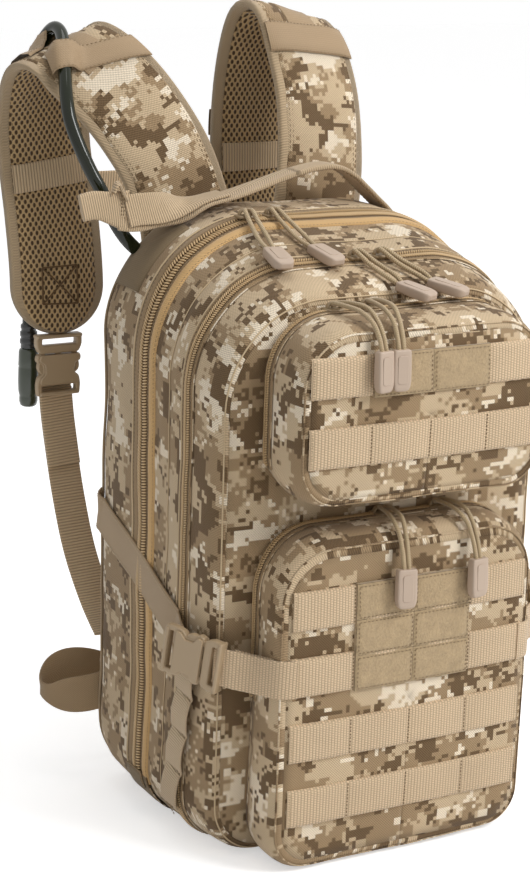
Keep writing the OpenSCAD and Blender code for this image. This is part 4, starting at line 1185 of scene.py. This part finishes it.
for dx in (-127.6, -125.8):
    stitches(b, xyz(dx + 0.35 * np.sin(q * 3), 65.4, 404 + q), (0, -1, 0), "thread", 1.8, 0.6, 0.34)
b.sweep(track([(-133, 66.6, 416), (-130, 66.2, 422), (-126.5, 66.4, 416.5), (-123, 66.8, 411)],
              1.2, 8), oval(7, 2.0, 12, 0.4), (0.3, 1, 0.3), "weblong")
b.done("root", replaces="handle_tabs")
# plain gusset over the tube's exit
b = Build("tube_port_flap", "flat")
ss = np.linspace(BODY.height(352, 70), BODY.height(392, 70), 14)
skin(b, BODY, [57, 58.5, 64, 72, 80, 86, 91, 92], ss, "lining",
     [0.0, 1.2, 1.8, 2.0, 2.0, 1.8, 1.2, 0.0])
b.done("root", replaces="rear_shell", thick=0.8)


# ---------------------------------------------------------------- buckles
def buckle_frames():
    """Where each buckle sits and how it is turned."""
    level = Matrix.Rotation(PI / 2, 4, "X")
    hang = Matrix.Rotation(PI / 2, 4, "Y") @ level
    yaw = Matrix.Rotation(math.atan2(0.891, 0.453), 4, "Z")
    comp = (Matrix.Translation(Vector(COMP_BUCKLE) + 15 * Vector(COMP_DIR)) @ yaw
            @ Matrix.Rotation(-math.radians(8), 4, "Y") @ level)
    return {
        "strap_female_left": Matrix.Translation(BUCKLE_L) @ hang,
        "strap_female_right": Matrix.Translation(BUCKLE_R) @ hang,
        "sternum_female": Matrix.Translation((-38, 193.5, 398)) @ level,
        "waist_female": Matrix.Translation((0, 130, 46)) @ level,
        "compression_female_right": comp,
        "compression_female_left": Matrix.Scale(-1, 4, (1, 0, 0)) @ comp,
    }


def rounded_loop(pts, r=1.6, n=4):
    """Corner-rounded closed loop."""
    pts = [np.array(p, float) for p in pts]
    out = []
    for i, p in enumerate(pts):
        a, c = pts[i - 1], pts[(i + 1) % len(pts)]
        da, dc = unit(a - p), unit(c - p)
        ra = min(r, np.linalg.norm(a - p) / 2.1, np.linalg.norm(c - p) / 2.1)
        for t in np.linspace(0, 1, n):
            out.append(tuple((1 - t) ** 2 * (p + da * ra) + 2 * t * (1 - t) * p
                             + t ** 2 * (p + dc * ra)))
    return out


def box_loop(x0, x1, half, r, end=None):
    """A rounded rectangle, which may be narrower at x1."""
    end = half if end is None else end
    return rounded_loop([(x0, -half), (x0, half), (x1, end), (x1, -end)], r)


FEMALE = [(0.2, -15.8), (2.4, -16.8), (5.4, -16.6), (7.0, -12.6), (13.4, -11.9), (16.4, -15.6),
          (22, -16.6), (29.6, -16.0), (29.6, 16.0), (22, 16.6), (16.4, 15.6), (13.4, 11.9),
          (7.0, 12.6), (5.4, 16.6), (2.4, 16.8), (0.2, 15.8)]
FEMALE_FRONT = [(0.2, -14.5), (4, -15.6), (6.6, -11.4), (13.6, -10.8), (17, -14.4), (20.6, -14.8),
                (20.6, 14.8), (17, 14.4), (13.6, 10.8), (6.6, 11.4), (4, 15.6), (0.2, 14.5)]
MALE = [(-13.6, -17.2), (-6.0, -17.4), (-0.6, -14.8), (-0.6, 14.8), (-6.0, 17.4), (-13.6, 17.2)]
ARM = [(-1.0, 14.2), (3.0, 14.6), (6.4, 15.4), (9.6, 15.9), (12.6, 14.8), (14.4, 12.2),
       (13.4, 9.9), (9.0, 11.8), (4.0, 10.6), (-1.0, 10.2)]
MIRRORED_ARM = [(p, -q) for p, q in ARM[::-1]]
SLOT_HALF = 12.9


def female(name, m):
    b = Build(name + "_shell", "plastic")
    b.curve([rounded_loop(FEMALE), box_loop(22.2, 26.4, SLOT_HALF, 1.0)], 2.6, 0.9, m, "plastic")
    for s in (-1, 1):
        b.curve([rounded_loop(FEMALE_FRONT, 1.2)], 1.0, 0.5,
                m @ Matrix.Translation((0, 0, s * 3.4)), "plastic")
    b.curve([box_loop(26.6, 29.4, 14.5, 1.0)], 3.6, 1.1, m, "plastic")
    b.done(name, replaces=name)


def male(b, m):
    b.curve([rounded_loop(MALE, 2.2), box_loop(-11.2, -6.6, SLOT_HALF, 1.0)], 3.0, 1.1, m, "plastic")
    b.curve([box_loop(-14, -11.3, 17.2, 1.2)], 4.3, 1.3, m, "plastic")
    for arm in (MIRRORED_ARM, ARM):
        b.curve([rounded_loop(arm, 1.4)], 2.2, 0.8, m, "plastic")
    b.curve([box_loop(-1, 13, 2, 1.0, 1.4)], 1.6, 0.6, m, "plastic")


HALVES = buckle_frames()
for name, m in HALVES.items():
    female(name, m)
b = Build("strap_males", "plastic")
for name in ("strap_female_left", "strap_female_right", "sternum_female", "waist_female"):
    male(b, HALVES[name])
b.done("root", replaces="buckle_males")
b = Build("compression_males_shell", "plastic", "web")
for name in ("compression_female_right", "compression_female_left"):
    male(b, HALVES[name])
b.done("lower_flap", replaces="compression_males")
# short webbing from each compression buckle's male half to the pocket's edge
b = Build("compression_short_webbing", "row")
c = COMP_BUCKLE + 15 * COMP_DIR - 9 * np.array([0.449, 0.882, 0.139])
outer = [c + (0, 2.0, 0), c + (-6.0, -7, -0.6), (106, -80, 132.6), (95.5, -96.2, 132.3),
         (84, -101.2, 132.3)]
inner = [(x - 1.8, y + 1.4, z) for x, y, z in outer[1:-1]]
for side in (-1, 1):
    strap(b, mirror(side, outer), width=25.0, thick=1.7, mat="row")
    strap(b, mirror(side, inner), width=25.0, thick=1.5, mat="web")
b.done("lower_flap", replaces="compression_males")


# ---------------------------------------------------------------- sliders and pulls
def rounded_box(b, centre, size, mat, square):
    """Superellipsoid: a box with soft edges."""
    u = np.linspace(0, 2 * PI, 20, endpoint=False)[None]
    v = np.linspace(-PI / 2, PI / 2, 11)[:, None]
    wide = power(np.cos(v), square)
    p = xyz(wide * power(np.cos(u), square), wide * power(np.sin(u), square),
            power(np.sin(v), square))
    b.grid(np.array(centre) + np.array(size) / 2 * p, mat, wrap=True)


SLIDE_Z = {"main": 400.4, "mid": 380.4, "upper": 357.4, "lower": 221.4}
SLIDE_Y = {"main": 33.0, "mid": -23.0, "upper": -66.2, "lower": -66.2}
SLIDE_X = {"main": (-54, -34), "mid": (-4, 15), "upper": (-46, -21), "lower": (-5, 38)}
ROUTES = {
    "main": ([(0, -1.6), (10, -5.4), (28, -13.6), (43, -18.5)], -12, (-9, 7)),
    "mid": ([(0, -1.6), (12, -6.4), (27, -12.4), (35, -16.8)], -10, (20, 30)),
    "upper": ([(0, -1.6), (14, 1.5), (26, 0.5), (36, -5), (42, -13), (45.5, -22)], -88, (8, -8)),
    "lower": ([(0, -1.6), (12, 0.8), (22, -1.6), (30, -9), (35, -19), (38.4, -30)], -88, (-9, 9)),
}


def slider(name, place, tag, way):
    """A zipper slider with its arch; way is -1 for a left one and 1 for a right one."""
    x, y, z = place
    z += 0.9 if tag == "main" else 0.4
    b = Build(name + "_body", "metal")
    rounded_box(b, (x, y, z + 0.2), (13.5, 9.6, 2.0), "metal", 0.35)
    rounded_box(b, (x + way * 3.4, y, z + 0.4), (6.5, 11.4, 2.2), "metal", 0.5)
    a = np.linspace(0, PI, 18)
    b.sweep(xyz(x - 4.9 * np.cos(a), y, z + 1.2 + 4.0 * np.sin(a)), oval(3.6, 1.3, 12, 0.5),
            (0, 1, 0), "metal")
    b.done(name, replaces=name)


TAB_AT = (-1.0, -0.7, 0.2, 5, 12, 18, 21.5, 23.6, 24.6, 25.0)
TAB_HALF_W = (4.8, 5.5, 5.8, 5.9, 6.0, 6.0, 5.6, 4.8, 3.8, 2.4)
TAB_HALF_T = (2.4, 2.9, 3.1, 3.2, 3.4, 3.4, 3.2, 2.8, 2.1, 1.2)


def pull(name, place, tag, i):
    """A doubled cord from a slider to a moulded tab."""
    route, tilt, swing = ROUTES[tag]
    a, t = math.radians(swing[i]), math.radians(tilt)
    o = np.array(place) + (0, -4.5, 5.0)
    up, fwd = np.array([0, 0, 1.0]), np.array([math.sin(a), -math.cos(a), 0])
    side = np.array([math.cos(a), math.sin(a), 0])
    b = Build(name + "_cord", "cord", "tab")
    pts = [o + fwd * f + up * h for f, h in route]
    spread = [0.4, 2.6, 2.9, 2.2, 1.8][:len(pts) - 1] + [1.7]
    for s in (-1, 1):
        strand = [o - fwd * 4.6 - up * 1.9 + side * s * 0.2,
                  o - fwd * 1.5 + side * s * 2.4 + up * 0.6]
        for k in range(1, len(pts)):
            crossing = 0.7 * s if k < 3 else 0
            strand.append(pts[k] + side * s * spread[k] + up * crossing)
        strand.append(strand[-1] + unit(pts[-1] - pts[-2]) * 4)
        b.sweep(track(strand, 1.0, 10), circle(10) * 1.5, side, "cord")
    d = fwd * math.cos(t) + up * math.sin(t)
    n = -fwd * math.sin(t) + up * math.cos(t)
    end = pts[-1]
    broad = 1.0 if tag == "upper" else 1.14
    sides = 20
    cx, cy = power(circle(sides, PI / sides), 0.28).T[..., None]
    rows = np.array([end + d * l + side * cx * broad * w + n * cy * th
                     for l, w, th in zip(TAB_AT, TAB_HALF_W, TAB_HALF_T)])
    b.grid(rows, "tab", wrap=True)
    b.ends(rows, "tab")
    turn = Matrix((d, side, n)).transposed()
    face = Matrix.Translation(end + n * 3.2) @ turn.to_4x4()
    b.curve([box_loop(2.5, 20, 3.6, 2.0)], 0.5, 0.3, face, "tab")
    b.done(name, replaces=name)


for tag in ("main", "mid", "upper", "lower"):
    for i, side in enumerate(("left", "right")):
        place = (SLIDE_X[tag][i], SLIDE_Y[tag], SLIDE_Z[tag])
        slider(f"slider_{tag}_{side}", place, tag, 2 * i - 1)
        pull(f"pull_{tag}_{side}", place, tag, i)

# ---------------------------------------------------------------- drink system
b = Build("drink_tube_hose", "tube")
b.sweep(TUBE, circle(18) * 4.5, (0.3, 1, 0.1), "tube")
tube = b.done("root", replaces="drink_tube")


def turned(b, base, profile, mat, sides=28, axis=(0, 0, -1)):
    """A turned form: radii at distances along an axis."""
    axis = unit(np.array(axis, float))
    u = unit(np.cross(axis, (0, 1, 0) if abs(axis[1]) < 0.9 else (1, 0, 0)))
    c, s = circle(sides).T[..., None]
    rows = np.array([np.array(base) + axis * d + r * (c * u + s * np.cross(axis, u))
                     for d, r in profile])
    b.grid(rows, mat, wrap=True)
    b.ends(rows, mat)


end_x, end_y, end_z = ROUTE[-1]
b = Build("hose_connector", "connector")
turned(b, (end_x, end_y, end_z + 3), [(0, 4.9), (0.6, 5.6), (3, 5.7), (3.4, 5.2), (5, 5.2),
       (5.4, 6.0), (8.4, 6.1), (8.8, 5.5), (10.4, 5.5), (10.8, 6.1), (13.6, 6.2), (14, 5.6),
       (16.8, 5.6)], "connector")
conn = b.done("root", replaces="tube_connector")
b = Build("bite_valve_cover", "valve")
turned(b, (end_x, end_y, end_z - 14.2), [(0, 5.0), (0.8, 6.4), (2.5, 6.9), (9, 7.1), (12, 7.3),
       (13, 6.9), (14, 7.2), (24, 7.4), (30, 7.2), (33, 6.7), (34, 6.3), (35, 6.5), (38, 6.5),
       (40.6, 5.8), (41.6, 4.4), (42, 2.0)], "valve")
valve = b.done("bite_valve", replaces="bite_valve")

# inside: sleeve, reservoir, its cap and the tube up to the port
SLEEVE_X, SLEEVE_Y, SLEEVE_R, SLEEVE_LOW, SLEEVE_TOP, CAP_Z = 118, 58.6, 22.0, 3, 298, 230.7
b = Build("sleeve_cloth", "lining")
x, z = net(np.linspace(-SLEEVE_X, SLEEVE_X, 40), np.linspace(SLEEVE_LOW, SLEEVE_TOP, 40))
dx = np.maximum(np.abs(x) - (SLEEVE_X - SLEEVE_R), 0)
dz = np.maximum(SLEEVE_LOW + SLEEVE_R - z, 0)
out = np.maximum(np.hypot(dx, dz) - SLEEVE_R, 0) * 0.7
x, z = np.sign(x) * (np.abs(x) - out), z + out
swell = 3.8 * np.exp(-(np.hypot(x, z - CAP_Z) / 36) ** 4)
b.grid(xyz(x, SLEEVE_Y + lump(xyz(x, 0, z), 60, 0.9, 4) - swell, z), "lining", uv=flat_uv(x, z))
ridge(b, xyz(np.linspace(-116, 116, 50), SLEEVE_Y, SLEEVE_TOP), (0, 1, 0), 2.2, "binding", 0.5)
b.done("root", replaces="hydration_sleeve", thick=0.8)
b = Build("reservoir_film", "bladder")
outline = power(circle(72), 0.35) * (90, 145)
rows = []
for k in np.linspace(-1, 1, 23):
    shrink = min(1.03 - 0.075 * k ** 2, 1.0)
    x, z = (shrink * outline).T
    rows.append(xyz(x, 69.5 + 10 * power(k, 0.8), 147.7 + z))
b.grid(np.array(rows), "bladder", wrap=True)
for row, back in ((rows[0], False), (rows[-1], True)):
    c = row.mean(0)
    b.grid(c + np.linspace(1, 0.02, 8)[:, None, None] * (row - c), "bladder", flip=back)
b.done("root", replaces="reservoir")
b = Build("reservoir_screw_cap", "cap")
turned(b, (0, 68.8, CAP_Z), [(0, 30.6), (1.2, 31), (7.4, 31), (8.6, 30), (8.9, 27), (8.4, 25.6),
       (8.4, 4)], "cap", 48, (0, -1, 0))
b.curve([box_loop(-24, 24, 3.4, 2.2)], 2.2, 0.8,
        Matrix.Translation((0, 59.4, CAP_Z)) @ Matrix.Rotation(PI / 2, 4, "X"), "cap")
b.done("reservoir_cap", replaces="reservoir_cap")
b = Build("inner_hose", "tube")
inner = smooth([(-90.6, 70, 30), (-98, 70, 31), (-106, 70, 42), (-108, 71, 80), (-106, 73, 160),
                (-105, 75, 240), (-103, 80, 320), (-101, 85, 345), (-100, 88, 360),
                (-100.4, 88, 369.5), (-103.8, 88, 372.9)], 8)
b.sweep(inner, circle(18) * 4.4, (0, 1, 0.01), "tube")
b.done("root", replaces="inner_tube")

# foam sheet and partition inside, padded mesh panels on the back
b = Build("back_foam_sheet", "foam")
x, z = net(np.linspace(-95, 95, 24), np.linspace(16, 360, 30))
b.grid(xyz(x, 91 + lump(xyz(x, 0, z), 50, 0.6), z), "foam", uv=flat_uv(x, z))
b.done("root", replaces="back_foam", thick=4.0, inner="foam")
b = Build("inner_partition", "lining")
PARTITION_Y = 1.0
edge = BODY.at(PARTITION_Y, np.linspace(0, FULL, 200), -2.6)
c = np.array([0, PARTITION_Y, 195.0])
p = c + np.linspace(1, 0.02, 12)[:, None, None] * (edge - c)
p[..., 1] = PARTITION_Y + lump(p, 60, 1.2, 6)
b.grid(p, "lining", uv=p[..., [0, 2]] * MM)
b.done("front_half", replaces="front_shell", thick=0.6)


def cushion(b, x0, x1, z0, z1):
    """A crowned mesh pad with a bound edge."""
    base, rise, r = 98.4, 10.5, 12.0
    mid_x, mid_z, half_x, half_z = (x0 + x1) / 2, (z0 + z1) / 2, (x1 - x0) / 2, (z1 - z0) / 2
    u = np.linspace(-1, 1, 34)
    x, z = net(mid_x + half_x * u, mid_z + half_z * u)
    d = np.minimum.reduce([x - x0, x1 - x, z - z0, z1 - z])
    cx = np.clip(np.abs(x - mid_x) - (half_x - r), 0, r)
    cz = np.clip(np.abs(z - mid_z) - (half_z - r), 0, r)
    over = np.maximum(np.hypot(cx, cz) - r, 0) * 0.72
    x, z = x - np.sign(x - mid_x) * over, z - np.sign(z - mid_z) * over
    crown = rise * np.clip(d / 13, 0, 1) ** 0.55
    uneven = lump(xyz(x, 0, z), 24, 0.5, 8) * np.clip(d / 5, 0, 1)
    b.grid(xyz(x, base + crown + uneven, z), "mesh", uv=flat_uv(x, z), flip=True)
    ring = []
    for xa, za, xb, zb in ((x0 + r, z0, x1 - r, z0), (x1, z0 + r, x1, z1 - r),
                           (x1 - r, z1, x0 + r, z1), (x0, z1 - r, x0, z0 + r)):
        ring += [(xa, za), ((xa + xb) / 2, (za + zb) / 2), (xb, zb)]
    ring = [(x, base + 1.0, z) for x, z in ring + ring[:2]]
    ridge(b, track(ring, 3, 6), (0, 1, 0), 2.0, "binding", 0.7)


b = Build("back_mesh_cushions", "mesh", "binding")
cushion(b, -92, -4, 214, 364)
cushion(b, 4, 92, 214, 364)
cushion(b, -92, 92, 30, 198)
b.done("root", replaces="back_pads")

# ---------------------------------------------------------------- floor, light, camera
FLOOR, FLOOR_Z = 6, -0.0005
me = bpy.data.meshes.new("floor")
me.from_pydata([(x, y, FLOOR_Z) for x, y in corners(-FLOOR, -FLOOR, FLOOR, FLOOR)[:-1]], [],
               [(0, 1, 2, 3)])
floor = bpy.data.objects.new("floor", me)
bpy.context.scene.collection.objects.link(floor)
ground = bpy.data.materials.new("floor")
ground.use_nodes = True
paint = ground.node_tree.nodes["Principled BSDF"].inputs
paint["Base Color"].default_value = (0.93, 0.93, 0.93, 1)
paint["Roughness"].default_value = 0.9
paint["Emission Color"].default_value = (1, 1, 1, 1)
me.materials.append(ground)

def seen_level(tree, low, high, target):
    """Level low for light on the object, high where the camera sees, mirrored or through."""
    seen = tree.nodes.new("ShaderNodeLightPath")
    last = seen.outputs["Is Camera Ray"]
    for ray in ("Is Glossy Ray", "Is Transmission Ray"):
        either = tree.nodes.new("ShaderNodeMath")
        either.operation = "MAXIMUM"
        tree.links.new(last, either.inputs[0])
        tree.links.new(seen.outputs[ray], either.inputs[1])
        last = either.outputs[0]
    level = tree.nodes.new("ShaderNodeMapRange")
    level.inputs["To Min"].default_value = low
    level.inputs["To Max"].default_value = high
    tree.links.new(last, level.inputs["Value"])
    tree.links.new(level.outputs[0], target)


seen_level(ground.node_tree, low=0.0, high=0.5, target=paint["Emission Strength"])

world = bpy.data.worlds.new("world")
bpy.context.scene.world = world
world.use_nodes = True
sky = world.node_tree
seen_level(sky, low=0.48, high=1.0, target=sky.nodes["Background"].inputs["Strength"])
sky.nodes["Background"].inputs["Color"].default_value = (1, 1, 1, 1)


def area(name, place, target, size, watts):
    light = bpy.data.lights.new(name, "AREA")
    light.size, light.energy = size, watts
    o = bpy.data.objects.new(name, light)
    bpy.context.scene.collection.objects.link(o)
    o.location = place
    o.rotation_mode = "QUATERNION"
    o.rotation_quaternion = (Vector(target) - Vector(place)).to_track_quat("-Z", "Y")


area("key", (1.15, -1.55, 1.7), (0, 0, 0.25), size=0.9, watts=36)
area("top", (0.1, 0.1, 1.9), (0, 0, 0.2), size=1.0, watts=8)

AZ, EL, ROLL = math.radians(-30.4825), math.radians(14.5012), math.radians(1.8083)
TARGET = Vector((-0.0535, 0, 0.25988))
DISTANCE = 1.5
FOCAL, HEIGHT, SENSOR = 2299.0136, 879, 36.0
back = Vector((math.sin(AZ) * math.cos(EL), -math.cos(AZ) * math.cos(EL), math.sin(EL)))
level = Vector((math.cos(AZ), math.sin(AZ), 0))
upright = back.cross(level)
right = level * math.cos(ROLL) + upright * math.sin(ROLL)
up = upright * math.cos(ROLL) - level * math.sin(ROLL)
cam = bpy.data.cameras.new("camera")
cam.lens, cam.sensor_width = FOCAL * SENSOR / HEIGHT, SENSOR
cam.clip_start, cam.clip_end = 0.05, 50
eye = bpy.data.objects.new("camera", cam)
bpy.context.scene.collection.objects.link(eye)
eye.matrix_world = (Matrix.Translation(TARGET + back * DISTANCE)
                    @ Matrix((right, up, back)).transposed().to_4x4())
bpy.context.scene.camera = eye
bpy.context.scene.view_settings.view_transform = "Standard"
